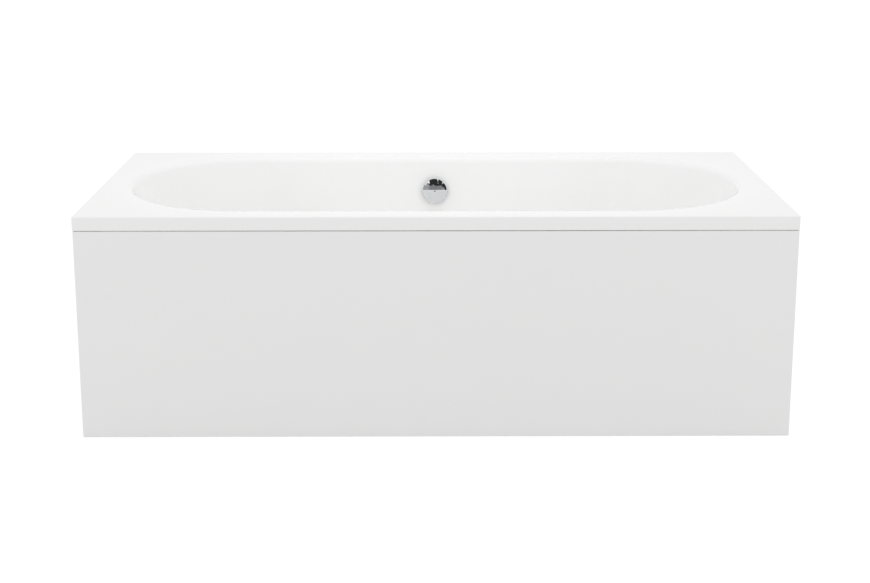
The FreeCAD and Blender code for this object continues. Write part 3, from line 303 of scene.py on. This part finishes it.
def wood_grain():
    """Grain that runs along X: slow rings, fine fibres and dark pores."""
    tree, given, gives = pattern("wood_grain", {"Rings": 9.0}, ("Grain", "Fibres"))
    place, unturned = given["Place"], (0.0, 0.0, 0.0)
    warp = noise(tree, stretched(tree, place, unturned, (1.2, 18.0, 18.0)), 1.0, 2.0)
    bent = shifted(tree, place, warp, (0.0, 0.035, 0.035))
    bands = put(tree, "TexWave",
                {"wave_type": "BANDS", "bands_direction": "DIAGONAL", "wave_profile": "SAW"},
                Vector=stretched(tree, bent, unturned, (0.02, 1.0, 0.8)), Scale=given["Rings"],
                Distortion=1.5, Detail=2.0)
    fibres = noise(tree, stretched(tree, place, unturned, (9.0, 620.0, 620.0)), 1.0, 3.0, 0.7)
    tree.links.new(bands.outputs[0], gives["Grain"])
    tree.links.new(fibres.outputs[0], gives["Fibres"])
    return tree


def pressed_chips():
    """Flakes of wood pressed into a board, each with its own tone."""
    tree, given, gives = pattern("pressed_chips", {"Chips": 170.0}, ("Tone", "Gaps"))
    place = given["Place"]
    bent = shifted(tree, place, noise(tree, place, 50.0, 2.0), (0.02, 0.02, 0.02))
    flat = stretched(tree, bent, (0.0, 0.0, 0.5), (1.0, 2.6, 3.0))
    flakes = put(tree, "TexVoronoi", {"feature": "F1"}, Vector=flat, Scale=given["Chips"])
    edges = put(tree, "TexVoronoi", {"feature": "DISTANCE_TO_EDGE"}, Vector=flat,
                Scale=given["Chips"])
    tone = put(tree, "SeparateColor", _0=flakes.outputs["Color"]).outputs[0]
    dust = maths(tree, "MULTIPLY", noise(tree, place, 900.0, 2.0).outputs[0], 0.3)
    tree.links.new(maths(tree, "MULTIPLY_ADD", tone, 0.7, dust), gives["Tone"])
    tree.links.new(spread(tree, edges.outputs["Distance"], 0.0, 0.08), gives["Gaps"])
    return tree


def zinc_spangle():
    """The frosted crystals of a zinc coat and the draw lines of rolled sheet."""
    tree, given, gives = pattern("zinc_spangle", {"Crystals": 190.0}, ("Crystal", "Draw"))
    place = given["Place"]
    bent = shifted(tree, place, noise(tree, place, 90.0, 2.0), (0.006, 0.006, 0.006))
    cells = put(tree, "TexVoronoi", {"feature": "F1"}, Vector=bent, Scale=given["Crystals"])
    lines = noise(tree, stretched(tree, place, (0.0, 0.0, 0.0), (900.0, 12.0, 900.0)), 1.0, 2.0)
    tree.links.new(put(tree, "SeparateColor", _0=cells.outputs["Color"]).outputs[0],
                   gives["Crystal"])
    tree.links.new(lines.outputs[0], gives["Draw"])
    return tree


def shop_dust():
    """Soft settled dust, heavier on faces that look up."""
    tree, given, gives = pattern("shop_dust", {"Patches": 7.0}, ("Dust",))
    up = put(tree, "SeparateXYZ", _0=put(tree, "NewGeometry").outputs["Normal"]).outputs[2]
    patches = noise(tree, given["Place"], given["Patches"], 5.0, 0.65)
    level = spread(tree, up, 0.2, 1.0, 0.15, 1.0)
    dust = maths(tree, "MULTIPLY", spread(tree, patches.outputs[0], 0.4, 0.75), level)
    tree.links.new(dust, gives["Dust"])
    return tree


HAZE, STRANDS, GRAIN = polish_haze(), chopped_strands(), wood_grain()
CHIPS, SPANGLE, DUST = pressed_chips(), zinc_spangle(), shop_dust()


# ---------------------------------------------------------------------------------------------
# Finishes

def finish_named(name, **constants):
    """A new material: itself, its tree, its shader and its place on the piece."""
    made = bpy.data.materials.new(name)
    tree = emptied(made)
    shader = put(tree, "BsdfPrincipled", **constants)
    surfaced(tree, shader)
    return made, tree, shader, put(tree, "TexCoord").outputs["Object"]


def laid(tree, group, place, **numbers):
    """Place a pattern group in a material."""
    node = put(tree, "Group", {"node_tree": group}, Place=place)
    for label, number in numbers.items():
        node.inputs[label].default_value = number
    return node.outputs


def bump(tree, shader, height, depth, strength=1.0, over=None):
    """Feed a height in metres to the shader's normal, over an earlier bump where there is one."""
    inputs = {"Height": height, "Distance": depth, "Strength": strength}
    if over:
        inputs["Normal"] = over
    normal = put(tree, "Bump", **inputs).outputs[0]
    tree.links.new(normal, shader.inputs["Normal"])
    return normal


def feed(tree, shader, **outputs):
    """Link outputs to the shader's inputs of those names."""
    for name, socket in outputs.items():
        tree.links.new(socket, shader.inputs[name.replace("_", " ")])


def gloss_acrylic(name, colour, waves, dull):
    """Thermoformed sanitary acrylic: clear gloss over white, with a hardly visible waviness."""
    made, tree, shader, place = finish_named(name, IOR=1.49)
    skin = laid(tree, HAZE, place, Waves=waves)
    hazy = tuple(part * 0.985 for part in colour)
    feed(tree, shader, Base_Color=mixed(tree, skin["Haze"], colour, hazy),
         Roughness=spread(tree, skin["Haze"], 0.3, 0.7, dull, dull + 0.06))
    bump(tree, shader, skin["Wave"], 0.0004, 0.5)
    return made


def plated_chrome():
    """Polished plating with a faint haze."""
    made, tree, shader, place = finish_named("polished_chrome", Metallic=1.0)
    skin = laid(tree, HAZE, place, Waves=60.0, Grain=1500.0)
    feed(tree, shader,
         Base_Color=mixed(tree, skin["Haze"], (0.80, 0.81, 0.82), (0.74, 0.75, 0.77)),
         Roughness=spread(tree, skin["Haze"], 0.3, 0.75, 0.03, 0.09))
    bump(tree, shader, skin["Wave"], 0.00005, 0.4)
    return made


def glassfibre():
    """Resin and chopped strands, sprayed and rolled on the back of the shell."""
    made, tree, shader, place = finish_named("sprayed_glassfibre", IOR=1.52)
    lay = laid(tree, STRANDS, place)
    cloud = laid(tree, HAZE, place, Waves=5.0, Grain=60.0)
    resin = mixed(tree, cloud["Haze"], (0.60, 0.58, 0.46), (0.74, 0.72, 0.60))
    feed(tree, shader, Base_Color=mixed(tree, lay["Strands"], resin, (0.84, 0.83, 0.76)),
         Roughness=spread(tree, lay["Lumps"], 0.3, 0.7, 0.28, 0.55))
    lumps = bump(tree, shader, lay["Lumps"], 0.0022, 0.8)
    bump(tree, shader, lay["Strands"], 0.0006, 0.9, over=lumps)
    return made


def chipboard():
    """Unfaced board with dust settled on its top."""
    made, tree, shader, place = finish_named("raw_chipboard")
    chips = laid(tree, CHIPS, place)
    dust = laid(tree, DUST, place)
    wood = mixed(tree, chips["Tone"], (0.40, 0.27, 0.15), (0.74, 0.58, 0.38))
    dusty = mixed(tree, maths(tree, "MULTIPLY", dust["Dust"], 0.4), wood, (0.66, 0.60, 0.52))
    feed(tree, shader, Base_Color=dusty,
         Roughness=spread(tree, chips["Tone"], 0.0, 1.0, 0.68, 0.85))
    bump(tree, shader, chips["Gaps"], 0.0004, 0.7)
    return made


def fibreboard():
    """Raw fibreboard with a felted face."""
    made, tree, shader, place = finish_named("raw_fibreboard")
    felt = laid(tree, HAZE, place, Waves=140.0, Grain=1300.0)
    feed(tree, shader,
         Base_Color=mixed(tree, felt["Haze"], (0.50, 0.37, 0.24), (0.60, 0.46, 0.31)),
         Roughness=spread(tree, felt["Haze"], 0.3, 0.7, 0.72, 0.88))
    bump(tree, shader, felt["Haze"], 0.00025, 0.6)
    return made


def softwood(name, turn):
    """Planed softwood with its grain turned along the rail."""
    made, tree, shader, place = finish_named(name)
    along = put(tree, "Mapping", Vector=place, Rotation=(0.0, 0.0, turn)).outputs[0]
    grain = laid(tree, GRAIN, along, Rings=26.0)
    rings = mixed(tree, grain["Grain"], (0.72, 0.54, 0.31), (0.52, 0.33, 0.15))
    pores = mixed(tree, grain["Fibres"], (0.6, 0.6, 0.6), (1.0, 1.0, 1.0))
    feed(tree, shader, Base_Color=mixed(tree, 0.35, rings, pores, "MULTIPLY"),
         Roughness=spread(tree, grain["Fibres"], 0.3, 0.7, 0.55, 0.75))
    bump(tree, shader, grain["Fibres"], 0.0002, 0.6)
    return made


def galvanised_sheet():
    """Hot-dip zinc with dull crystals."""
    made, tree, shader, place = finish_named("galvanised_sheet", Metallic=1.0)
    coat = laid(tree, SPANGLE, place)
    feed(tree, shader,
         Base_Color=mixed(tree, coat["Crystal"], (0.46, 0.48, 0.50), (0.66, 0.68, 0.70)),
         Roughness=spread(tree, coat["Crystal"], 0.0, 1.0, 0.30, 0.48))
    bump(tree, shader, coat["Draw"], 0.00006, 0.5)
    return made


def bright_zinc():
    """Electroplated fasteners, with a faint yellow and blue passivation."""
    made, tree, shader, place = finish_named("bright_zinc", Metallic=1.0)
    coat = laid(tree, HAZE, place, Waves=45.0, Grain=900.0)
    feed(tree, shader,
         Base_Color=mixed(tree, coat["Wave"], (0.66, 0.66, 0.60), (0.60, 0.64, 0.70)),
         Roughness=spread(tree, coat["Haze"], 0.3, 0.7, 0.20, 0.34))
    bump(tree, shader, coat["Haze"], 0.00003, 0.5)
    return made


def turned_steel():
    """Stainless rod with fine turning lines."""
    made, tree, shader, place = finish_named("turned_steel", Metallic=1.0)
    coat = laid(tree, SPANGLE, place, Crystals=300.0)
    feed(tree, shader,
         Base_Color=mixed(tree, coat["Draw"], (0.55, 0.55, 0.56), (0.68, 0.68, 0.69)),
         Roughness=spread(tree, coat["Draw"], 0.3, 0.7, 0.16, 0.30))
    bump(tree, shader, coat["Draw"], 0.00003, 0.5)
    return made


def moulded(name, dark, light, low, high, depth):
    """Injection moulded plastic or rubber with a fine spark-eroded grain and a little dust."""
    made, tree, shader, place = finish_named(name, IOR=1.49)
    skin = laid(tree, HAZE, place, Waves=30.0, Grain=1100.0)
    dust = laid(tree, DUST, place, Patches=12.0)
    plain = mixed(tree, skin["Haze"], dark, light)
    worn = mixed(tree, maths(tree, "MULTIPLY", dust["Dust"], 0.12), plain, (0.62, 0.60, 0.57))
    feed(tree, shader, Base_Color=worn,
         Roughness=spread(tree, skin["Haze"], 0.3, 0.7, low, high))
    bump(tree, shader, skin["Haze"], depth, 0.6)
    return made


FINISHES = {
    "acrylic": gloss_acrylic("white_acrylic", (0.91, 0.91, 0.907), 7.0, 0.09),
    # painted shade: the panel's white is darker than the shell's, so its front face reads dimmer
    "panel_acrylic": gloss_acrylic("panel_acrylic", (0.875, 0.875, 0.873), 4.0, 0.16),
    "glassfibre": glassfibre(),
    "chipboard": chipboard(),
    "mdf": fibreboard(),
    "timber": softwood("softwood_along", 0.0),
    "galvanised": galvanised_sheet(),
    "zinc": bright_zinc(),
    "black_plastic": moulded("black_plastic", (0.022, 0.022, 0.024), (0.04, 0.04, 0.043),
                             0.38, 0.58, 0.00012),
    "chrome": plated_chrome(),
    "steel": turned_steel(),
    "rubber": moulded("black_rubber", (0.025, 0.025, 0.025), (0.05, 0.05, 0.05),
                      0.62, 0.85, 0.0001),
    "white_plastic": moulded("white_polypropylene", (0.76, 0.76, 0.72), (0.83, 0.83, 0.80),
                             0.30, 0.45, 0.00008),
}
ACROSS = softwood("softwood_across", math.radians(90.0))


def dress_nodes():
    """Give every solid its finish from the record's own list."""
    for entry in frame["record"]["subparts"]:
        materials = nodes[entry["node"]].data.materials
        materials.clear()
        materials.append(FINISHES[entry["material_slot"]])


# ---------------------------------------------------------------------------------------------
# Shaping, as at the bench

cylinder, box = bpy.ops.mesh.primitive_cylinder_add, bpy.ops.mesh.primitive_cube_add
circle = bpy.ops.mesh.primitive_circle_add
TINY = 1e-6    # metres, for what should be equal or nought


def begin(name, primitive, scale=(1.0, 1.0, 1.0), **sizes):
    """Add a primitive at its size and place, with its place taken into its mesh."""
    clear_selection()
    primitive(**sizes)
    piece = bpy.context.object
    piece.name = piece.data.name = name
    piece.scale = scale
    bpy.ops.object.transform_apply(location=True, rotation=True, scale=True)
    return piece


def take(piece):
    """Make one piece the only selected and active one, out of edit mode."""
    clear_selection()
    bpy.context.view_layer.objects.active = piece
    piece.select_set(True)
    return piece


def choose(piece, kind, wanted):
    """Open a piece and select the faces or edges whose middle and direction are wanted."""
    if bpy.context.object != piece or piece.mode != "EDIT":
        take(piece)
        bpy.ops.object.mode_set(mode="EDIT")
    bpy.ops.mesh.select_mode(type=kind)
    bpy.ops.mesh.select_all(action="DESELECT")
    shape = bmesh.from_edit_mesh(piece.data)
    if kind == "FACE":
        chosen = [face for face in shape.faces if wanted(face.calc_center_median(), face.normal)]
    else:
        chosen = [edge for edge in shape.edges
                  if wanted((edge.verts[0].co + edge.verts[1].co) / 2.0,
                            edge.verts[1].co - edge.verts[0].co)]
    for part in chosen:
        part.select_set(True)
    bmesh.update_edit_mesh(piece.data)


def carve(piece, tool, operation="DIFFERENCE"):
    """Cut a piece with a tool, or keep what lies in both, and put the tool away."""
    take(piece)
    cut = piece.modifiers.new("carve", "BOOLEAN")
    cut.operation, cut.object, cut.solver = operation, tool, "EXACT"
    bpy.ops.object.modifier_apply(modifier=cut.name)
    bpy.data.objects.remove(tool)
    return piece


def ease(piece, width):
    """Break the sharp edges of a piece."""
    take(piece)
    broken = piece.modifiers.new("ease", "BEVEL")
    broken.width, broken.segments = width, 2
    broken.limit_method, broken.angle_limit = "ANGLE", math.radians(35.0)
    bpy.ops.object.modifier_apply(modifier=broken.name)
    return piece


def copied(piece, name, move=(0.0, 0.0, 0.0), turn=None):
    """A copy with its own mesh, turned and then moved, with its place in its mesh."""
    twin = piece.copy()
    twin.data = piece.data.copy()
    twin.name = twin.data.name = name
    bpy.context.scene.collection.objects.link(twin)
    twin.data.transform(Matrix.Translation(move) @ (turn or Matrix.Identity(4)))
    return twin


def joined(pieces, name):
    """Make several pieces one."""
    take(pieces[0])
    for piece in pieces:
        piece.select_set(True)
    bpy.ops.object.join()
    pieces[0].name = pieces[0].data.name = name
    return pieces[0]


def fit(piece, body, slot, node, sharp=32.0):
    """Finish a piece: smooth its round faces, and give it its finish, its body and its node."""
    take(piece)
    bpy.ops.object.shade_smooth_by_angle(angle=math.radians(sharp))
    piece.data.materials.clear()
    piece.data.materials.append(FINISHES[slot])
    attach(piece, body)
    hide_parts(node)
    return piece


def middle_of(node):
    """The middle of a node's box."""
    low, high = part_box(node)
    return (Vector(low) + Vector(high)) / 2.0


def levels_of(node):
    """The bottom and the top level of a node's box."""
    return tuple(corner[2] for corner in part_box(node))


def merged(node, name):
    """A copy of a solid with its loose triangles made one surface, left open and all selected."""
    piece = take(copied(nodes[node], name))
    bpy.ops.mesh.customdata_custom_splitnormals_clear()
    bpy.ops.object.mode_set(mode="EDIT")
    bpy.ops.mesh.select_all(action="SELECT")
    bpy.ops.mesh.remove_doubles(threshold=1e-5)
    return piece


def eased(node, name, width, slot, body="bath"):
    """A copy of a sawn or folded piece with its edges broken."""
    piece = merged(node, name)
    bpy.ops.mesh.dissolve_limited(angle_limit=math.radians(0.5))
    return fit(ease(piece, width), body, slot, node)


# ---------------------------------------------------------------------------------------------
# Threads, nuts, bolts and screws

def threaded_rod(name, radius, pitch, low, high):
    """A rod on the Z axis with a V thread wound round it and chamfered ends."""
    depth = 0.6 * pitch
    turns = int((high - low) / pitch - 1.2)    # the thread stops short of both ends
    rod = begin(name, cylinder, vertices=32, radius=radius - depth, depth=high - low,
                location=(0.0, 0.0, (low + high) / 2.0))
    choose(rod, "EDGE", lambda middle, along: abs(along.z) < TINY)
    bpy.ops.mesh.bevel(offset=0.4 * depth, segments=1)
    ridge = begin(f"{name}_ridge", circle, vertices=4, radius=1.0,
                  scale=(depth, 0.46 * pitch, 1.0), rotation=(math.radians(90.0), 0.0, 0.0))
    ridge.data.transform(Matrix.Translation((radius - depth, 0.0, low + 0.6 * pitch)))
    wound = ridge.modifiers.new("wound", "SCREW")
    wound.axis, wound.angle, wound.screw_offset = "Z", 2.0 * math.pi, pitch
    wound.steps = wound.render_steps = 20
    wound.iterations = turns
    take(ridge)
    bpy.ops.object.modifier_apply(modifier=wound.name)
    bpy.ops.object.mode_set(mode="EDIT")
    bpy.ops.mesh.select_all(action="SELECT")
    bpy.ops.mesh.remove_doubles(threshold=TINY)
    bpy.ops.mesh.fill_holes(sides=4)
    bpy.ops.mesh.select_all(action="SELECT")
    bpy.ops.mesh.normals_make_consistent(inside=False)
    return joined([rod, ridge], name)


def hexagon(name, flats, low, high, bore=0.0):
    """A hexagon across the given flats with its corners turned off, and bored for a nut."""
    corner = flats / math.sqrt(3.0)
    cone = (corner - flats / 2.0) * math.tan(math.radians(30.0))
    middle = (0.0, 0.0, (low + high) / 2.0)
    block = begin(name, cylinder, vertices=6, radius=corner, depth=high - low, location=middle,
                  rotation=(0.0, 0.0, math.radians(30.0)))
    # a hair wider than the corners, so that only its cones cut
    lathe = begin("lathe", cylinder, vertices=48, radius=corner * 1.001,
                  depth=high - low - 2.0 * cone, location=middle)
    choose(lathe, "FACE", lambda place, normal: abs(normal.z) > 0.9)
    bpy.ops.mesh.inset(thickness=(corner - flats / 2.0) * 1.15, depth=cone)
    carve(block, lathe, "INTERSECT")
    if bore:
        past_the_ends = 0.002
        carve(block, begin("drill", cylinder, vertices=40, radius=bore,
                           depth=high - low + past_the_ends, location=middle))
        choose(block, "EDGE", lambda place, along:
               abs(place.to_2d().length - bore) < 0.02 * bore and abs(along.z) < TINY)
        bpy.ops.mesh.bevel(offset=0.0003, segments=1)
    return block


def cross_head_screw(name, head, shank, cap, grip):
    """A pan-head wood screw that points up from the plane z = 0, with a cross recess."""
    screw = begin(name, cylinder, vertices=32, radius=head, depth=cap,
                  location=(0.0, 0.0, -cap / 2.0))
    choose(screw, "EDGE", lambda middle, along: middle.z < -cap + TINY and abs(along.z) < TINY)
    bpy.ops.mesh.bevel(offset=0.62 * cap, segments=4, profile=0.55)
    for turn in (0.0, 90.0):
        wing = begin("driver", box, size=1.0, scale=(1.1 * head, 0.24 * head, 0.9 * cap),
                     location=(0.0, 0.0, -cap))
        choose(wing, "FACE", lambda middle, normal: normal.z > 0.9)
        bpy.ops.transform.resize(value=(0.45, 0.6, 1.0))
        bpy.ops.object.mode_set(mode="OBJECT")
        wing.data.transform(Matrix.Rotation(math.radians(turn), 4, "Z"))
        carve(screw, wing)
    stem = begin(f"{name}_stem", cylinder, vertices=16, radius=shank, depth=grip,
                 location=(0.0, 0.0, grip / 2.0))
    choose(stem, "EDGE", lambda middle, along: middle.z > grip - TINY and abs(along.z) < TINY)
    bpy.ops.mesh.bevel(offset=0.7 * shank, segments=2)
    return joined([screw, stem], name)


def fix_feet():
    """Four threaded studs in their pads, with a nut below and above each end of the cross bars."""
    low, high = levels_of("foot_stud_front_left")
    stud = threaded_rod("foot_stud", STUD_RADIUS, STUD_PITCH, low, high)
    places = [middle_of(f"foot_stud_{foot}") for foot in FEET]
    for foot, place in zip(FEET, places):
        fit(copied(stud, f"threaded_stud_{foot}", (place.x, place.y, 0.0)), f"foot_{foot}", "zinc",
            f"foot_stud_{foot}")
    bpy.data.objects.remove(stud)
    low, high = levels_of("foot_nuts")
    bore = STUD_RADIUS + NUT_SLACK
    nuts = [hexagon("nut_below", FOOT_NUT_FLATS, low, low + FOOT_NUT_HEIGHT, bore),
            hexagon("nut_above", FOOT_NUT_FLATS, high - FOOT_NUT_HEIGHT, high, bore)]
    every = [copied(nut, f"{nut.name}_{number}", (place.x, place.y, 0.0))
             for nut in nuts for number, place in enumerate(places)]
    for nut in nuts:
        bpy.data.objects.remove(nut)
    fit(joined(every, "chamfered_foot_nuts"), "bath", "zinc", "foot_nuts")


def repeated(piece, places, name, node):
    """Copies of a fastener at every place as one piece, which stands for a node of the bath."""
    copies = [copied(piece, f"{piece.name}_{number}", place)
              for number, place in enumerate(places)]
    fit(joined(copies, name), "bath", "zinc", node)
    bpy.data.objects.remove(piece)


def fix_frame():
    """Bolts and nuts between the cross bars and the struts."""
    low, high = (Vector(corner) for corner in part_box("frame_bolts"))
    side, end = high.x - BOLT_FLATS / math.sqrt(3.0), high.y - BOLT_FLATS / 2.0
    places = [(x, y, 0.0) for x in (-side, side) for y in (-end, end)]
    shank = threaded_rod("bolt_shank", BOLT_RADIUS, BOLT_PITCH, low.z, high.z - 0.75 * BOLT_HEAD)
    bolt = joined([shank, hexagon("bolt_head", BOLT_FLATS, high.z - BOLT_HEAD, high.z)], "bolt")
    repeated(bolt, places, "threaded_frame_bolts", "frame_bolts")
    low, high = levels_of("frame_nuts")
    repeated(hexagon("nut", BOLT_FLATS, low, high, BOLT_RADIUS + NUT_SLACK), places,
             "chamfered_frame_nuts", "frame_nuts")


def fix_screws():
    """Cross-head screws under the board and under the rim rails."""
    shape = (SCREW_HEAD, SCREW_SHANK, SCREW_CAP, SCREW_GRIP)
    low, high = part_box("bar_screws")
    side, end, seat = high[0] - SCREW_HEAD, high[1] - SCREW_HEAD, low[2] + SCREW_CAP
    board = [(x, y, seat) for x in (-side, side) for y in (-end, 0.0, end)]
    repeated(cross_head_screw("board_screw", *shape), board, "cross_head_board_screws",
             "bar_screws")
    low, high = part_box("rail_screws")
    side, end, seat = high[0] - SCREW_HEAD, high[1] - SCREW_HEAD, low[2] + SCREW_CAP
    strut, bracket = middle_of("cross_bar_right").x, middle_of("wall_bracket_back_right").x
    pair = (-SCREW_STEP, SCREW_STEP)
    rails = [(x + way, y, seat) for x in (-strut, strut) for y in (-end, end) for way in pair]
    rails += [(x + way, end, seat) for x in (-bracket, bracket) for way in pair]
    rails += [(x, way, seat) for x in (-side, side) for way in pair]
    repeated(cross_head_screw("rail_screw", *shape), rails, "cross_head_rail_screws",
             "rail_screws")


# ---------------------------------------------------------------------------------------------
# Plumbing under the bowl

def ribbed_nut(radius, bore, length, ribs):
    """A plastic union nut on the Z axis, with finger ribs and eased ends."""
    room_for_ribs, rib_height, land, past_the_ends = 0.0016, 0.0015, 0.0012, 0.01
    nut = begin("nut", cylinder, vertices=4 * ribs, radius=radius - room_for_ribs, depth=length)
    step = 2.0 * math.pi / ribs
    choose(nut, "FACE", lambda middle, normal: abs(normal.z) < 0.1
           and (math.atan2(middle.y, middle.x) % step) < step / 4.0)
    bpy.ops.mesh.inset(thickness=0.0004, depth=rib_height, use_individual=True)
    choose(nut, "FACE", lambda middle, normal: abs(normal.z) > 0.9)
    bpy.ops.mesh.inset(thickness=land, depth=0.0)
    carve(nut, begin("drill", cylinder, vertices=48, radius=bore, depth=length + past_the_ends))
    return ease(nut, 0.0004)


def tighten_unions():
    """Three union nuts, turned to their pipes."""
    union = (UNION_RADIUS, UNION_BORE, UNION_LENGTH, UNION_RIBS)
    outlet = (OUTLET_RADIUS, OUTLET_BORE, OUTLET_LENGTH, OUTLET_RIBS)
    for node, name, shape, angle, axis in (
            ("overflow_nut_top", "ribbed_nut_top", union, BACK_WALL_TILT, "X"),
            ("overflow_nut_bottom", "ribbed_nut_bottom", union, math.radians(90.0), "X"),
            ("outlet_nut", "ribbed_nut_outlet", outlet, math.radians(90.0), "Y")):
        nut = ribbed_nut(*shape)
        fit(copied(nut, name, middle_of(node), Matrix.Rotation(angle, 4, axis)), "bath",
            "white_plastic", node)
        bpy.data.objects.remove(nut)


# ---------------------------------------------------------------------------------------------
# Timber, steelwork, catches and backing

def ease_the_carpentry():
    """Saw-cut timber and board, with corners that a rasp has taken off."""
    for side in ("back", "front", "left", "right"):
        rail = eased(f"rim_rail_{side}", f"planed_rail_{side}", 0.0012, "timber")
        if side in ("left", "right"):
            rail.data.materials[0] = ACROSS
    eased("base_board", "sawn_base_board", 0.0008, "chipboard")
    for part in ("top_rail", "bottom_rail", "stiffeners"):
        eased(f"apron_{part}", f"sawn_{part}", 0.0008, "mdf", "apron")


def ease_the_steelwork():
    """Folded and punched steel, its cut edges deburred."""
    for side in ("left", "right"):
        for node, name in ((f"cross_bar_{side}", f"folded_bar_{side}"),
                           (f"wall_bracket_{side}", f"folded_bracket_{side}"),
                           (f"wall_bracket_back_{side}", f"folded_bracket_back_{side}"),
                           (f"rim_strut_front_{side}", f"folded_strut_front_{side}"),
                           (f"rim_strut_rear_{side}", f"folded_strut_rear_{side}")):
            eased(node, name, 0.0005, "galvanised")


def magnet_block(size):
    """A moulded block with a magnet in the face towards the panel and hollows at its ends."""
    wall = 0.003
    block = begin("block", box, size=1.0, scale=size)
    choose(block, "FACE", lambda middle, normal: normal.y < -0.9)
    bpy.ops.mesh.inset(thickness=wall, depth=0.0)
    bpy.ops.mesh.inset(thickness=0.0004, depth=-0.0012)
    choose(block, "FACE", lambda middle, normal: abs(normal.x) > 0.9)
    bpy.ops.mesh.inset(thickness=wall, depth=0.0)
    bpy.ops.mesh.inset(thickness=0.001, depth=-0.0015, use_individual=True)
    return ease(block, 0.0008)


def strike_plate(size):
    """A steel plate with round corners and two screw holes, one above the other."""
    plate = begin("block", box, size=1.0, scale=size)
    choose(plate, "EDGE", lambda middle, along: abs(along.y) > TINY
           and abs(along.x) + abs(along.z) < TINY)
    bpy.ops.mesh.bevel(offset=0.004, segments=5)
    for up in (-0.011, 0.011):
        carve(plate, begin("drill", cylinder, vertices=24, radius=0.0022, depth=0.02,
                           location=(0.0, 0.0, up), rotation=(math.radians(90.0), 0.0, 0.0)))
    return ease(plate, 0.0003)


def fix_catches():
    """Magnet blocks on the struts and steel plates on the panel's posts."""
    for group, name, shaped, body, slot in (
            ("magnet_catches", "magnet_blocks", magnet_block, "bath", "black_plastic"),
            ("catch_plates", "strike_plates", strike_plate, "apron", "galvanised")):
        low, high = (Vector(corner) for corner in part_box(group))
        size = Vector((high.z - low.z, high.y - low.y, high.z - low.z))
        block = shaped(size)
        middle, reach = (low + high) / 2.0, (high.x - low.x - size.x) / 2.0
        pair = [copied(block, f"{name}_{side}", (side * reach, middle.y, middle.z))
                for side in (-1, 1)]
        bpy.data.objects.remove(block)
        fit(joined(pair, name), body, slot, group)


def spray_the_backing():
    """The glassfibre coat with the lumps that a spray gun and a roller leave on its outside."""
    coarse, above_board, rim_under = 0.024, 0.002, 0.560
    line_half, line_height = 0.45, 0.36    # a level line in the bowl, which the inside faces
    coat = merged("glassfibre_layer", "sprayed_coat")
    low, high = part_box("glassfibre_layer")
    for way, normal in enumerate(((1.0, 0.0, 0.0), (0.0, 1.0, 0.0), (0.0, 0.0, 1.0))):
        cuts = int((high[way] - low[way]) / coarse)
        for cut in range(1, cuts):
            bpy.ops.mesh.select_all(action="SELECT")
            place = [low[way] + (high[way] - low[way]) * cut / cuts] * 3
            bpy.ops.mesh.bisect(plane_co=place, plane_no=normal)
    bpy.ops.object.mode_set(mode="OBJECT")
    outside = coat.vertex_groups.new(name="outside")
    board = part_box("base_board")[1][2] + above_board
    for spot in coat.data.vertices:
        nearest = Vector((max(-line_half, min(line_half, spot.co.x)), 0.0, line_height))
        inwards = (nearest - spot.co).normalized()
        if spot.normal.dot(inwards) < 0.1 and board < spot.co.z < rim_under:
            outside.add([spot.index], 1.0, "REPLACE")
    for name, size, depth in (("dribbles", 0.085, 0.0017), ("lumps", 0.035, 0.0012)):
        lumps = bpy.data.textures.new(name, "CLOUDS")
        lumps.noise_scale, lumps.noise_depth = size, 2
        pushed = coat.modifiers.new(name, "DISPLACE")
        pushed.texture, pushed.texture_coords = lumps, "LOCAL"
        # a middle level of 1 moves the skin inwards only, so the coat keeps its outer size
        pushed.strength, pushed.mid_level, pushed.vertex_group = depth, 1.0, "outside"
        take(coat)
        bpy.ops.object.modifier_apply(modifier=name)
    coat.vertex_groups.clear()
    fit(coat, "bath", "glassfibre", "glassfibre_layer", sharp=60.0)


set_camera()
light_the_studio()
paint_knob_reflection()
lay_floor()
dress_nodes()
fix_feet()
fix_frame()
fix_screws()
tighten_unions()
ease_the_carpentry()
ease_the_steelwork()
fix_catches()
spray_the_backing()
